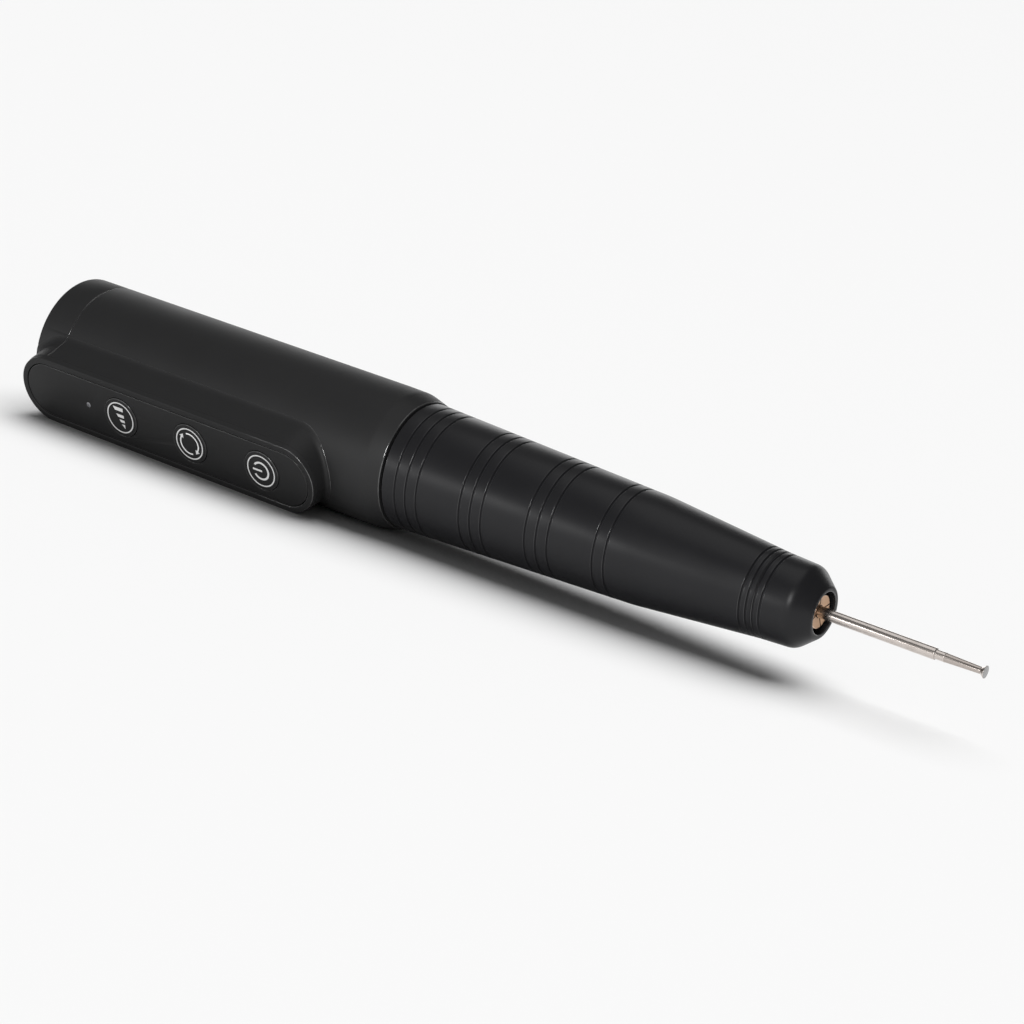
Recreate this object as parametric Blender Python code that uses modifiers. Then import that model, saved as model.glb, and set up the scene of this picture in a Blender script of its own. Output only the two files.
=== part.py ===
"""A cordless mini rotary tool: a pen-shaped engraver with a raised control panel, a ringed
twist grip, a slotted collet and an inverted-cone bit, lying on its body and its panel's edge.

Lengths are in metres. Along the tool, zero is the seam between body and grip, and plus is
towards the tip. Heights of the panel's pieces are counted from the tool's axis.
"""

from math import asin, atan2, cos, hypot, pi, radians, sin, tan

import bmesh
import bpy
from mathutils import Matrix, Vector

# Gaps between neighbours
GAP = 0.0003
FIT = 0.00015
SEAM_GAP = 0.0005
OVERRUN = 0.0010

# Body shell and rear cap
BODY_RADIUS = 0.0150
BODY_LENGTH = 0.0962
BODY_WALL = 0.0018
CAP_LENGTH = 0.0080
CAP_EDGE = 0.0005
SHOULDER_LENGTH = 0.0090
SHOULDER_EASE = 0.0001
CHAMFER_LENGTH = 0.0038
CHAMFER_DROP = 0.0010
NECK_WALL = 0.0016
SPIGOT_WALL = 0.0011
SPIGOT_LENGTH = 0.0027
SPIGOT_ROOT = 0.0015

# Raised panel on the side of the body
PANEL_STAND = 0.0044
PANEL_SET_BACK = 0.0133
PANEL_HALF_WIDTH = 0.0080
PANEL_TAIL = 0.0001
FLANK_DRAFT = radians(8.5)
BOSS_ROOT_DEPTH = 0.0060
BEZEL_WIDTH = 0.0015
BEZEL_THICKNESS = 0.0012
BEZEL_EDGE = 0.0006
PLATE_RECESS = 0.0001
POCKET_LEDGE = 0.0009
POCKET_DEPTH = 0.0035

# Push buttons, their switches and the status light
BUTTON_PITCH_SHARE = 0.2391
BUTTON_INSET = 0.0140
BUTTON_MARGIN = 0.0034
BUTTON_RISE = 0.00015
BUTTON_EDGE = 0.0003
BUTTON_TRAVEL = 0.00025
FLANGE_WIDTH = 0.0004
FLANGE_THICKNESS = 0.0005
SWITCH_WIDTH = 0.0045
SWITCH_HEIGHT = 0.0009
SOCKET_DEPTH = 0.0006
PLUNGER_RADIUS = 0.00105
PLUNGER_FLOOR_GAP = 0.0001
LIGHT_PITCH_SHARE = 0.1159
LENS_RADIUS = 0.0006
LIGHT_LENGTH = 0.0016
LIGHT_WIDTH = 0.0008
LIGHT_HEIGHT = 0.0006

# Circuit board and what is on it
BOARD_THICKNESS = 0.0008
CHIP_WIDTH = 0.0050
CHIP_HEIGHT = 0.0010
DRIVER_LENGTH = 0.0040
BOARD_SCREW_INSET = 0.0034
BOARD_SCREW_REAR_INSET = 0.0072
BOARD_SCREW_HEAD_RADIUS = 0.0014
BOARD_SCREW_HEAD_HEIGHT = 0.0008
BOARD_SCREW_RADIUS = 0.00065
BOARD_SCREW_BITE = 0.0010
USB_WIDTH = 0.0089
USB_HEIGHT = 0.0032
USB_LENGTH = 0.00735
USB_SHELL = 0.0003
USB_SET_BACK = 0.0002
USB_TONGUE_THICKNESS = 0.0007
USB_TONGUE_WIDTH = 0.0060
USB_TONGUE_SET = 0.0010

# Battery, its cradle and its contacts
CRADLE_DEPTH = 0.00405
PAD_LENGTH = 0.0019
LEAD_ROOM = 0.0038
CELL_EDGE = 0.0008
CELL_TERMINAL_RADIUS = 0.0030
CELL_TERMINAL_HEIGHT = 0.0006
CONTACT_THICKNESS = 0.0004
CONTACT_INSET = 0.00215
CRADLE_WALL = 0.0010
CRADLE_INSET = 0.0080
CRADLE_RIB_WIDTH = 0.0016
WIRE_RADIUS = 0.0006
WIRE_SPACING = 0.0017
WIRE_REST_INSET = 0.0008
WINDOW_LENGTH = 0.0042
WINDOW_HALF_WIDTH = 0.0034

# Motor
MOTOR_CLEARANCE = 0.0011
MOTOR_LENGTH = 0.0268
MOTOR_WALL = 0.0010
MOTOR_EDGE = 0.0008
MOTOR_BOSS_RADIUS = 0.0031
MOTOR_BOSS_LENGTH = 0.0012
MOTOR_CAP_FLANGE = 0.0018
MOTOR_CAP_SPIGOT = 0.0020
MOTOR_CAP_BOSS = 0.0008
MAGNET_THICKNESS = 0.0022
MAGNET_SET = 0.0010
BRUSH_ROOM = 0.0041
MAGNET_HALF_SPACING = 0.0030
ROTOR_AIR_GAP = 0.0005
ROTOR_INSET = 0.0015
ROTOR_SLOT_COUNT = 5
ROTOR_SLOT_WIDTH = 0.0016
ROTOR_SLOT_SHARE = 0.494
COMMUTATOR_RADIUS = 0.0026
COMMUTATOR_LENGTH = 0.0034
SHAFT_RADIUS = 0.0010
SHAFT_REAR = 0.0006
SHAFT_SET = 0.0010
MOUNT_THICKNESS = 0.0026
MOUNT_SCREW_SHARE = 0.661
MOUNT_SCREW_RADIUS = 0.00115
MOUNT_SCREW_HEAD_RADIUS = 0.0021
MOUNT_SCREW_HEAD_HEIGHT = 0.0012

# Spindle, its housing and its bearings
FLANGE_SET = 0.0018
HOUSING_FLANGE_THICKNESS = 0.0030
HOUSING_RADIUS = 0.0084
HOUSING_NOSE_RADIUS = 0.0072
BEARING_RADIUS = 0.0060
BEARING_WIDTH = 0.0040
INNER_RACE_WALL = 0.00065
OUTER_RACE_WALL = 0.00075
BALL_RADIUS = 0.0005
BALL_COUNT = 7
BALL_SEGMENT_COUNT = 6
BALL_RING_COUNT = 4
CAGE_WALL = 0.0003
CAGE_WIDTH = 0.0014
BEARING_SET = 0.0023
PUSHER_BORE_STEP = 0.00045
MIDDLE_BORE_RADIUS = 0.0050
RETAINER_WIDTH = 0.0010
RETAINER_WALL = 0.0016
RETAINER_SET = 0.0010
NOSE_CLEARANCE = 0.0006
SPINDLE_RADIUS = 0.0030
SPINDLE_WALL = 0.0007
SPINDLE_REAR = 0.0053
SPINDLE_NOSE_RADIUS = 0.0039
SPINDLE_NOSE_LENGTH = 0.0037
SHOULDER_CLEARANCE = 0.0020
SHOULDER_THICKNESS = 0.0020
COUPLING_RADIUS = 0.0050
COUPLING_REAR = 0.0010
COUPLING_GRIP = 0.0067

# Collet, draw rod, return spring and release
COLLET_SET = 0.0008
COLLET_RADIUS = 0.0035
COLLET_EDGE = 0.0002
COLLET_HEAD = 0.0026
COLLET_CONE = 0.0028
COLLET_CONE_RISE = 0.0011
COLLET_BODY_GAP = 0.00025
COLLET_LENGTH = 0.0199
COLLET_SLOT_WIDTH = 0.0005
COLLET_SLOT_LENGTH = 0.0140
COLLET_TRAVEL = 0.0006
SHANK_CLEARANCE = 0.0001
ROD_RADIUS = 0.0012
ROD_TIP_RADIUS = 0.0011
ROD_TIP_LENGTH = 0.0083
ROD_HEAD_SHARE = 0.2037
ROD_HEAD_GAP = 0.0002
SPRING_WIRE_RADIUS = 0.00025
SPRING_SHARE = 0.2172
SPRING_TURNS = 6
RELEASE_PIN_RADIUS = 0.00075
RELEASE_PIN_HALF_LENGTH = 0.0047
RELEASE_PIN_SET = 0.0060
PUSHER_LENGTH = 0.0050
PUSHER_RUNNING_GAP = 0.0004
PUSHER_PIN_RADIUS = 0.0009
PUSHER_PIN_SET = 0.0029
PUSHER_PIN_GAP = 0.0004

# Twist grip and its cam sleeve
GRIP_LENGTH = 0.0967
GRIP_STEP = 0.0003
WAIST_SHARE = 0.5946
WAIST_RADIUS = 0.01135
NOSE_LENGTH = 0.0112
NOSE_RADIUS = 0.0088
NOSE_FRONT_LENGTH = 0.0025
NOSE_FRONT_RADIUS = 0.0084
RIM_RADIUS = 0.0054
MOUTH_RADIUS = 0.0043
MOUTH_LENGTH = 0.0052
GROOVE_DEPTH = 0.00025
GROOVE_WIDTH = 0.0006
GROOVE_PITCH = 0.00265
GROOVE_FIRST = 0.0032
GROOVE_GROUP_PITCH = 0.01585
GROOVE_GROUPS = (3, 3, 3, 2)
NOSE_GROOVE_INSET = 0.0095
NOSE_GROOVE_PITCH = 0.00142
NOSE_GROOVE_COUNT = 4
GRIP_TWIST = radians(60.0)
CAM_WALL = 0.0012
CAM_LENGTH_SHARE = 0.4726
GRIP_RING_WIDTH = 0.0010
GRIP_RING_RUNOUT = 0.0024

# Bit
SHANK_RADIUS = 0.001175
BIT_LENGTH = 0.0445
BIT_INSERTION = 0.0094
STEP_RADIUS = 0.00094
STEP_LENGTH = 0.0020
NECK_REAR_RADIUS = 0.0008
NECK_FRONT_RADIUS = 0.00055
NECK_LENGTH = 0.0074
HEAD_RADIUS = 0.00135
HEAD_LENGTH = 0.0009

# Facets
BODY_STEPS = 40
GRIP_STEPS = 28
INNER_STEPS = 24
SMALL_STEPS = 16
PIN_STEPS = 12
ARC_STEPS = 10
EDGE_STEPS = 2
LEAD_BEVEL_STEPS = 1
SPRING_BEVEL_STEPS = 0
SLOT_BEVEL_STEPS = 2
SHARP_ANGLE = radians(30.0)
MERGE_DISTANCE = 0.00001

# Places and sizes that follow from the sizes above
BODY_BORE = BODY_RADIUS - BODY_WALL
BODY_FRONT_RADIUS = BODY_RADIUS - SHOULDER_EASE - CHAMFER_DROP
NECK_BORE = BODY_FRONT_RADIUS - NECK_WALL
CAP_SEAM = CAP_LENGTH - BODY_LENGTH
CAP_FLOOR = BODY_WALL - BODY_LENGTH
PANEL_HEIGHT = BODY_RADIUS + PANEL_STAND
PANEL_LENGTH = BODY_LENGTH - PANEL_TAIL - PANEL_SET_BACK
BOSS_ROOT_HEIGHT = BODY_RADIUS - BOSS_ROOT_DEPTH
PANEL_MIDDLE = PANEL_TAIL + PANEL_LENGTH / 2 - BODY_LENGTH
PANEL_FRONT = PANEL_MIDDLE + PANEL_LENGTH / 2
PLATE_BASE = PANEL_HEIGHT - BEZEL_THICKNESS
BOSS_TOP = PLATE_BASE - GAP
POCKET_FLOOR = BOSS_TOP - POCKET_DEPTH
BOARD_BASE = POCKET_FLOOR + GAP
BOARD_TOP = BOARD_BASE + BOARD_THICKNESS
POCKET_INSET = BEZEL_WIDTH + POCKET_LEDGE
PARTS_BASE = BOARD_TOP + GAP
SWITCH_TOP = PARTS_BASE + SWITCH_HEIGHT
FLANGE_TOP = PLATE_BASE - GAP
FLANGE_BASE = FLANGE_TOP - FLANGE_THICKNESS
BUTTON_RADIUS = PANEL_HALF_WIDTH - BUTTON_MARGIN
BUTTON_HOLE_RADIUS = BUTTON_RADIUS + GAP
BUTTON_PITCH = BUTTON_PITCH_SHARE * PANEL_LENGTH
POWER_PLACE = PANEL_FRONT - BUTTON_INSET
DIRECTION_PLACE = POWER_PLACE - BUTTON_PITCH
SPEED_PLACE = DIRECTION_PLACE - BUTTON_PITCH
LIGHT_PLACE = SPEED_PLACE - LIGHT_PITCH_SHARE * PANEL_LENGTH
SCREW_FRONT_PLACE = PANEL_FRONT - POCKET_INSET - BOARD_SCREW_INSET
SCREW_REAR_PLACE = PANEL_MIDDLE - PANEL_LENGTH / 2 + POCKET_INSET + BOARD_SCREW_REAR_INSET

HOUSING_FLANGE_FRONT = -SEAM_GAP - FLANGE_SET
HOUSING_REAR = HOUSING_FLANGE_FRONT - HOUSING_FLANGE_THICKNESS
MOUNT_FRONT = HOUSING_REAR - GAP
MOUNT_REAR = MOUNT_FRONT - MOUNT_THICKNESS
MOTOR_RADIUS = BODY_BORE - MOTOR_CLEARANCE
MOUNT_SCREW_CIRCLE = MOUNT_SCREW_SHARE * MOTOR_RADIUS
CAN_FRONT = MOUNT_REAR - GAP
CAN_REAR = CAN_FRONT - MOTOR_LENGTH
MOTOR_CAP_FRONT = CAN_REAR - GAP
MOTOR_CAP_REAR = MOTOR_CAP_FRONT - MOTOR_CAP_FLANGE
MAGNET_OUTER = MOTOR_RADIUS - MOTOR_WALL - GAP
MAGNET_REAR = MOTOR_CAP_FRONT + MOTOR_CAP_SPIGOT + BRUSH_ROOM
MAGNET_LENGTH = CAN_FRONT - MOTOR_WALL - MAGNET_SET - MAGNET_REAR
ROTOR_RADIUS = MAGNET_OUTER - MAGNET_THICKNESS - ROTOR_AIR_GAP
ROTOR_REAR = MAGNET_REAR + ROTOR_INSET
ROTOR_LENGTH = MAGNET_LENGTH - 2 * ROTOR_INSET
CELL_FRONT = MOTOR_CAP_REAR - LEAD_ROOM
CELL_REAR = CAP_FLOOR + PAD_LENGTH + CONTACT_THICKNESS + 3 * GAP
CELL_LENGTH = CELL_FRONT - CELL_REAR
CELL_RADIUS = BODY_BORE - CRADLE_DEPTH
CONTACT_RADIUS = CELL_RADIUS - CONTACT_INSET
LEAD_REST = CONTACT_RADIUS - WIRE_REST_INSET
LEAD_MIDDLE = (MOTOR_CAP_REAR + CELL_FRONT) / 2

REAR_BEARING = SPINDLE_REAR + COUPLING_GRIP + BEARING_SET
CAM_LENGTH = CAM_LENGTH_SHARE * GRIP_LENGTH
GRIP_RING_PLACE = GAP + CAM_LENGTH + GAP
HOUSING_STEP = GRIP_RING_PLACE + GRIP_RING_WIDTH + GRIP_RING_RUNOUT
HOUSING_BORE = BEARING_RADIUS + FIT
HOUSING_FRONT = GRIP_LENGTH - MOUTH_LENGTH - NOSE_CLEARANCE
SPINDLE_FRONT = GRIP_LENGTH - COLLET_SET - COLLET_HEAD - GAP
SPINDLE_BORE = SPINDLE_RADIUS - SPINDLE_WALL
SPINDLE_NOSE_REAR = SPINDLE_FRONT - SPINDLE_NOSE_LENGTH
RETAINER_REAR = HOUSING_FRONT - RETAINER_WIDTH - RETAINER_SET
FRONT_BEARING = RETAINER_REAR - GAP - BEARING_WIDTH
INNER_RACE_BORE = SPINDLE_RADIUS + FIT
INNER_RACE_RADIUS = INNER_RACE_BORE + INNER_RACE_WALL
OUTER_RACE_BORE = BEARING_RADIUS - OUTER_RACE_WALL
BALL_CIRCLE = (INNER_RACE_RADIUS + OUTER_RACE_BORE) / 2

COLLET_FRONT = GRIP_LENGTH - COLLET_SET
COLLET_REAR = COLLET_FRONT - COLLET_LENGTH
COLLET_BORE = SHANK_RADIUS + SHANK_CLEARANCE
COLLET_BODY_RADIUS = SPINDLE_BORE - COLLET_BODY_GAP
ROD_STEP = COLLET_REAR - GAP
ROD_FRONT = ROD_STEP + ROD_TIP_LENGTH
SHOULDER_PLACE = COLLET_REAR - SHOULDER_CLEARANCE - SHOULDER_THICKNESS
SPRING_FRONT = SHOULDER_PLACE - GAP
SPRING_LENGTH = SPRING_SHARE * GRIP_LENGTH
SPRING_REAR = SPRING_FRONT - SPRING_LENGTH
ROD_HEAD_FRONT = SPRING_REAR - GAP - COLLET_TRAVEL
ROD_HEAD_LENGTH = ROD_HEAD_SHARE * GRIP_LENGTH
ROD_REAR = ROD_HEAD_FRONT - ROD_HEAD_LENGTH
ROD_HEAD_RADIUS = SPINDLE_BORE - ROD_HEAD_GAP
RELEASE_PIN_PLACE = ROD_REAR + RELEASE_PIN_SET
PUSHER_FRONT = RELEASE_PIN_PLACE - RELEASE_PIN_RADIUS - GAP
PUSHER_REAR = PUSHER_FRONT - PUSHER_LENGTH
PUSHER_PIN_PLACE = PUSHER_FRONT - PUSHER_PIN_SET
PUSHER_BORE = HOUSING_BORE - PUSHER_BORE_STEP
CAM_BORE = HOUSING_RADIUS + GAP
CAM_RADIUS = CAM_BORE + CAM_WALL
GRIP_BORE = CAM_RADIUS + GAP
GRIP_NOSE_BORE = HOUSING_NOSE_RADIUS + GAP
GRIP_REAR_RADIUS = BODY_FRONT_RADIUS - GRIP_STEP
WAIST_PLACE = WAIST_SHARE * GRIP_LENGTH
BIT_REAR = COLLET_FRONT - BIT_INSERTION
TIP = BIT_REAR + BIT_LENGTH

# The tool rolls until the body and the panel's lower edge both touch the ground
EDGE_UP = PANEL_HEIGHT - BEZEL_EDGE
EDGE_OUT = PANEL_HALF_WIDTH - BEZEL_EDGE
ROLL = asin((BODY_RADIUS - BEZEL_EDGE) / hypot(EDGE_UP, EDGE_OUT)) - atan2(EDGE_OUT, EDGE_UP)
PANEL_REACH = EDGE_UP * cos(ROLL) + EDGE_OUT * sin(ROLL) + BEZEL_EDGE
AXIS_PLACE = ((BODY_LENGTH - TIP) / 2, (PANEL_REACH - BODY_RADIUS) / 2, BODY_RADIUS)

# Colour, roughness and metallic value of each finish
LOOKS = {
    "matte_black": ((0.022, 0.022, 0.023), 0.52, 0.0),
    "satin_black": ((0.012, 0.012, 0.013), 0.36, 0.0),
    "panel_black": ((0.016, 0.016, 0.017), 0.45, 0.0),
    "lens_grey": ((0.35, 0.36, 0.37), 0.25, 0.0),
    "board_green": ((0.02, 0.12, 0.05), 0.40, 0.0),
    "chip_black": ((0.02, 0.02, 0.02), 0.50, 0.0),
    "white_plastic": ((0.75, 0.75, 0.72), 0.45, 0.0),
    "bright_steel": ((0.62, 0.62, 0.60), 0.25, 1.0),
    "dark_steel": ((0.30, 0.30, 0.31), 0.40, 1.0),
    "nickel": ((0.66, 0.63, 0.58), 0.22, 1.0),
    "bronze": ((0.44, 0.25, 0.14), 0.34, 1.0),
    "brass": ((0.70, 0.52, 0.22), 0.30, 1.0),
    "aluminium": ((0.72, 0.72, 0.74), 0.35, 1.0),
    "cell_wrap": ((0.05, 0.20, 0.45), 0.45, 0.0),
    "foam": ((0.08, 0.08, 0.08), 0.95, 0.0),
    "ferrite": ((0.10, 0.10, 0.11), 0.70, 0.0),
    "wire_red": ((0.55, 0.03, 0.03), 0.45, 0.0),
    "wire_black": ((0.03, 0.03, 0.03), 0.45, 0.0),
}


def clear_scene():
    for obj in list(bpy.data.objects):
        bpy.data.objects.remove(obj, do_unlink=True)


def new_collection(name):
    collection = bpy.data.collections.new(name)
    bpy.context.scene.collection.children.link(collection)
    return collection


def new_frame(name, collection, turn):
    """An empty on the tool's axis, at the seam, that the pieces are placed from."""
    frame = bpy.data.objects.new(name, None)
    frame.location = AXIS_PLACE
    frame.rotation_euler = turn
    collection.objects.link(frame)
    return frame


clear_scene()
PIECES = new_collection("mini_rotary_tool")
CUTTERS = new_collection("cutters")
CUTTERS.hide_render = True
TOOL = new_frame("tool_axis", PIECES, (0.0, pi / 2, 0.0))
PANEL = new_frame("panel_frame", PIECES, (pi / 2 + ROLL, 0.0, 0.0))


def finish(obj, look):
    """Gives the object its own Principled material."""
    colour, roughness, metallic = LOOKS[look]
    material = bpy.data.materials.new(obj.name + "_" + look)
    material.use_nodes = True
    shader = material.node_tree.nodes["Principled BSDF"]
    shader.inputs["Base Color"].default_value = (*colour, 1.0)
    shader.inputs["Roughness"].default_value = roughness
    shader.inputs["Metallic"].default_value = metallic
    obj.data.materials.clear()
    obj.data.materials.append(material)


def placed(name, mesh, frame, place, collection=PIECES):
    obj = bpy.data.objects.new(name, mesh)
    obj.parent = frame
    obj.location = place
    collection.objects.link(obj)
    return obj


def from_bmesh(name, builder, frame, place, collection=PIECES):
    mesh = bpy.data.meshes.new(name)
    builder.to_mesh(mesh)
    builder.free()
    return placed(name, mesh, frame, place, collection)


def settle(obj):
    """Puts the mesh that the modifiers make in their place."""
    graph = bpy.context.evaluated_depsgraph_get()
    mesh = bpy.data.meshes.new_from_object(obj.evaluated_get(graph))
    obj.modifiers.clear()
    obj.data = mesh
    return obj


def shade(obj):
    obj.data.shade_smooth()
    obj.data.set_sharp_from_angle(angle=SHARP_ANGLE)


def done(obj, look):
    shade(obj)
    finish(obj, look)
    return obj


def as_cutter(obj):
    for owner in list(obj.users_collection):
        owner.objects.unlink(obj)
    CUTTERS.objects.link(obj)
    obj.hide_render = True
    obj.display_type = "WIRE"
    return obj


def combine(obj, other, operation):
    """Applies one Boolean. The other object stays, as a hidden helper."""
    modifier = obj.modifiers.new(operation.lower(), "BOOLEAN")
    modifier.operation = operation
    modifier.solver = "EXACT"
    modifier.object = as_cutter(other)
    return settle(obj)


def cut(obj, *cutters):
    for cutter in cutters:
        combine(obj, cutter, "DIFFERENCE")
    return obj


def join(obj, *others):
    for other in others:
        combine(obj, other, "UNION")
    return obj


def turned(name, frame, place, profile, steps=SMALL_STEPS):
    """Turns (radius, height) points about the frame's Z. The outer side runs from top to bottom."""
    builder = bmesh.new()
    points = [builder.verts.new((radius, 0.0, height)) for radius, height in profile]
    for start, end in zip(points, points[1:]):
        builder.edges.new((start, end))
    if profile[0][0] > 0.0:
        builder.edges.new((points[-1], points[0]))
    obj = from_bmesh(name, builder, frame, place)
    screw = obj.modifiers.new("turn", "SCREW")
    screw.steps = steps
    screw.render_steps = steps
    screw.use_merge_vertices = True
    screw.merge_threshold = MERGE_DISTANCE
    return settle(obj)


def ring(name, place, outer, inner, length, steps=SMALL_STEPS, frame=TOOL):
    profile = [(inner, length), (outer, length), (outer, 0.0), (inner, 0.0)]
    return turned(name, frame, (0.0, 0.0, place), profile, steps)


def rod(name, place, radius, length, steps=SMALL_STEPS, frame=TOOL, aside=(0.0, 0.0)):
    """A plain round bar along the frame's Z, from its place upwards."""
    builder = bmesh.new()
    half_turn_of_facet = Matrix.Rotation(pi / steps, 4, "Z")
    bmesh.ops.create_cone(
        builder, cap_ends=True, segments=steps, radius1=radius, radius2=radius, depth=length,
        matrix=Matrix.Translation((0.0, 0.0, length / 2)) @ half_turn_of_facet,
    )
    return from_bmesh(name, builder, frame, (*aside, place))


def crossbar(name, place, radius, half_length, turn, steps=PIN_STEPS):
    """A round bar across the tool's axis, along X for no turn and along Y for a quarter turn."""
    builder = bmesh.new()
    across = Matrix.Rotation(turn, 4, "Z") @ Matrix.Rotation(pi / 2, 4, "Y")
    bmesh.ops.create_cone(
        builder, cap_ends=True, segments=steps, radius1=radius, radius2=radius,
        depth=2 * half_length, matrix=across,
    )
    return from_bmesh(name, builder, TOOL, (0.0, 0.0, place))


def box(name, low, high, frame):
    """A box between two corners given in the frame."""
    low, high = Vector(low), Vector(high)
    size = high - low
    builder = bmesh.new()
    bmesh.ops.create_cube(builder, size=1.0, matrix=Matrix.Diagonal((*size, 1.0)))
    return from_bmesh(name, builder, frame, (low + high) / 2)


def stadium(half_length, half_width):
    """An outline with round ends, anticlockwise."""
    points = []
    for side in (1, -1):
        centre = side * (half_length - half_width)
        for step in range(ARC_STEPS + 1):
            angle = pi * step / ARC_STEPS - side * pi / 2
            points.append((centre + half_width * cos(angle), half_width * sin(angle)))
    return points


def lofted(name, sections, place, frame=PANEL, looped=False):
    """Skins round-ended outlines, given as (half length, half width, height), one above the other."""
    builder = bmesh.new()
    rings = []
    for half_length, half_width, height in sections:
        outline = stadium(half_length, half_width)
        rings.append([builder.verts.new((x, y, height)) for x, y in outline])
    pairs = list(zip(rings, rings[1:]))
    if looped:
        pairs.append((rings[-1], rings[0]))
    else:
        builder.faces.new(reversed(rings[0]))
        builder.faces.new(rings[-1])
    for lower, upper in pairs:
        for index in range(len(lower)):
            after = (index + 1) % len(lower)
            builder.faces.new((lower[index], lower[after], upper[after], upper[index]))
    return from_bmesh(name, builder, frame, place)


def tube(name, points, radius, bevel_steps, frame, place=(0.0, 0.0, 0.0)):
    """A bar of round section along the points, closed at both ends."""
    curve = bpy.data.curves.new(name, "CURVE")
    curve.dimensions = "3D"
    curve.bevel_depth = radius
    curve.bevel_resolution = bevel_steps
    curve.use_fill_caps = True
    spline = curve.splines.new("POLY")
    spline.points.add(len(points) - 1)
    for target, point in zip(spline.points, points):
        target.co = (*point, 1.0)
    path = placed(name, curve, frame, place)
    graph = bpy.context.evaluated_depsgraph_get()
    mesh = bpy.data.meshes.new_from_object(path.evaluated_get(graph))
    bpy.data.objects.remove(path, do_unlink=True)
    builder = bmesh.new()
    builder.from_mesh(mesh)
    bmesh.ops.remove_doubles(builder, verts=builder.verts[:], dist=MERGE_DISTANCE)
    return from_bmesh(name, builder, frame, place)


def panel_section(inset, height):
    """The panel's outline at a height, drawn in by the inset and spread by the draft below the top."""
    half_width = PANEL_HALF_WIDTH - inset + (PANEL_HEIGHT - height) * tan(FLANK_DRAFT)
    return PANEL_LENGTH / 2 - inset, half_width, height


def straight_section(inset, height):
    return PANEL_LENGTH / 2 - inset, PANEL_HALF_WIDTH - inset, height


def prism(name, inset, low, high):
    """A straight-sided block with the panel's outline, drawn in by the inset."""
    sections = [straight_section(inset, low), straight_section(inset, high)]
    return lofted(name, sections, (PANEL_MIDDLE, 0.0, 0.0))


def panel_boss():
    sections = [panel_section(0.0, BOSS_ROOT_HEIGHT), panel_section(0.0, BOSS_TOP)]
    return lofted("boss", sections, (PANEL_MIDDLE, 0.0, 0.0))


def slab(name, start, end):
    """A block across the whole tool between two places along it."""
    reach = 2 * PANEL_HEIGHT
    return box(name, (-reach, -reach, start), (reach, reach, end), TOOL)


def board_pocket():
    return prism("board_pocket", POCKET_INSET, POCKET_FLOOR, BOSS_TOP + OVERRUN)


def usb_slot(name, grow, start, end):
    """The socket's round-ended section, grown on all sides, drawn out along the tool."""
    half_width = USB_WIDTH / 2 + grow
    half_height = USB_HEIGHT / 2 + grow
    sections = [(half_width, half_height, start), (half_width, half_height, end)]
    obj = lofted(name, sections, (0.0, 0.0, 0.0))
    quarter = Matrix.Rotation(pi / 2, 4, "Z") @ Matrix.Rotation(pi / 2, 4, "X")
    obj.data.transform(quarter)
    obj.location = (0.0, 0.0, BOARD_BASE - GAP - USB_HEIGHT / 2)
    return obj


def make_main_housing():
    outer = [
        (0.0, -SEAM_GAP),
        (BODY_FRONT_RADIUS, -SEAM_GAP),
        (BODY_RADIUS - SHOULDER_EASE, -SEAM_GAP - CHAMFER_LENGTH),
        (BODY_RADIUS, -SHOULDER_LENGTH),
        (BODY_RADIUS, CAP_SEAM - OVERRUN),
        (0.0, CAP_SEAM - OVERRUN),
    ]
    housing = turned("main_housing", TOOL, (0.0, 0.0, 0.0), outer, BODY_STEPS)
    join(housing, panel_boss())
    core = [
        (0.0, OVERRUN),
        (NECK_BORE, OVERRUN),
        (NECK_BORE, HOUSING_REAR),
        (BODY_BORE, HOUSING_REAR),
        (BODY_BORE, -BODY_LENGTH),
        (0.0, -BODY_LENGTH),
    ]
    cut(
        housing,
        slab("behind_seam", -2 * BODY_LENGTH, CAP_SEAM + GAP / 2),
        turned("body_core", TOOL, (0.0, 0.0, 0.0), core, BODY_STEPS),
        board_pocket(),
        wire_window(),
        screw_hole("floor_hole_front", SCREW_FRONT_PLACE, POCKET_FLOOR),
        screw_hole("floor_hole_rear", SCREW_REAR_PLACE, POCKET_FLOOR),
    )
    done(housing, "matte_black")


def wire_window():
    """The opening in the pocket's floor that the leads come up through."""
    low = (LEAD_MIDDLE - WINDOW_LENGTH / 2, -WINDOW_HALF_WIDTH, BOSS_ROOT_HEIGHT)
    high = (LEAD_MIDDLE + WINDOW_LENGTH / 2, WINDOW_HALF_WIDTH, POCKET_FLOOR + GAP)
    return box("wire_window", low, high, PANEL)


def screw_hole(name, place, top):
    radius = BOARD_SCREW_RADIUS + GAP
    length = BOARD_THICKNESS + POCKET_DEPTH
    return rod(name, top - length / 2, radius, length, PIN_STEPS, PANEL, (place, 0.0))


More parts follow.
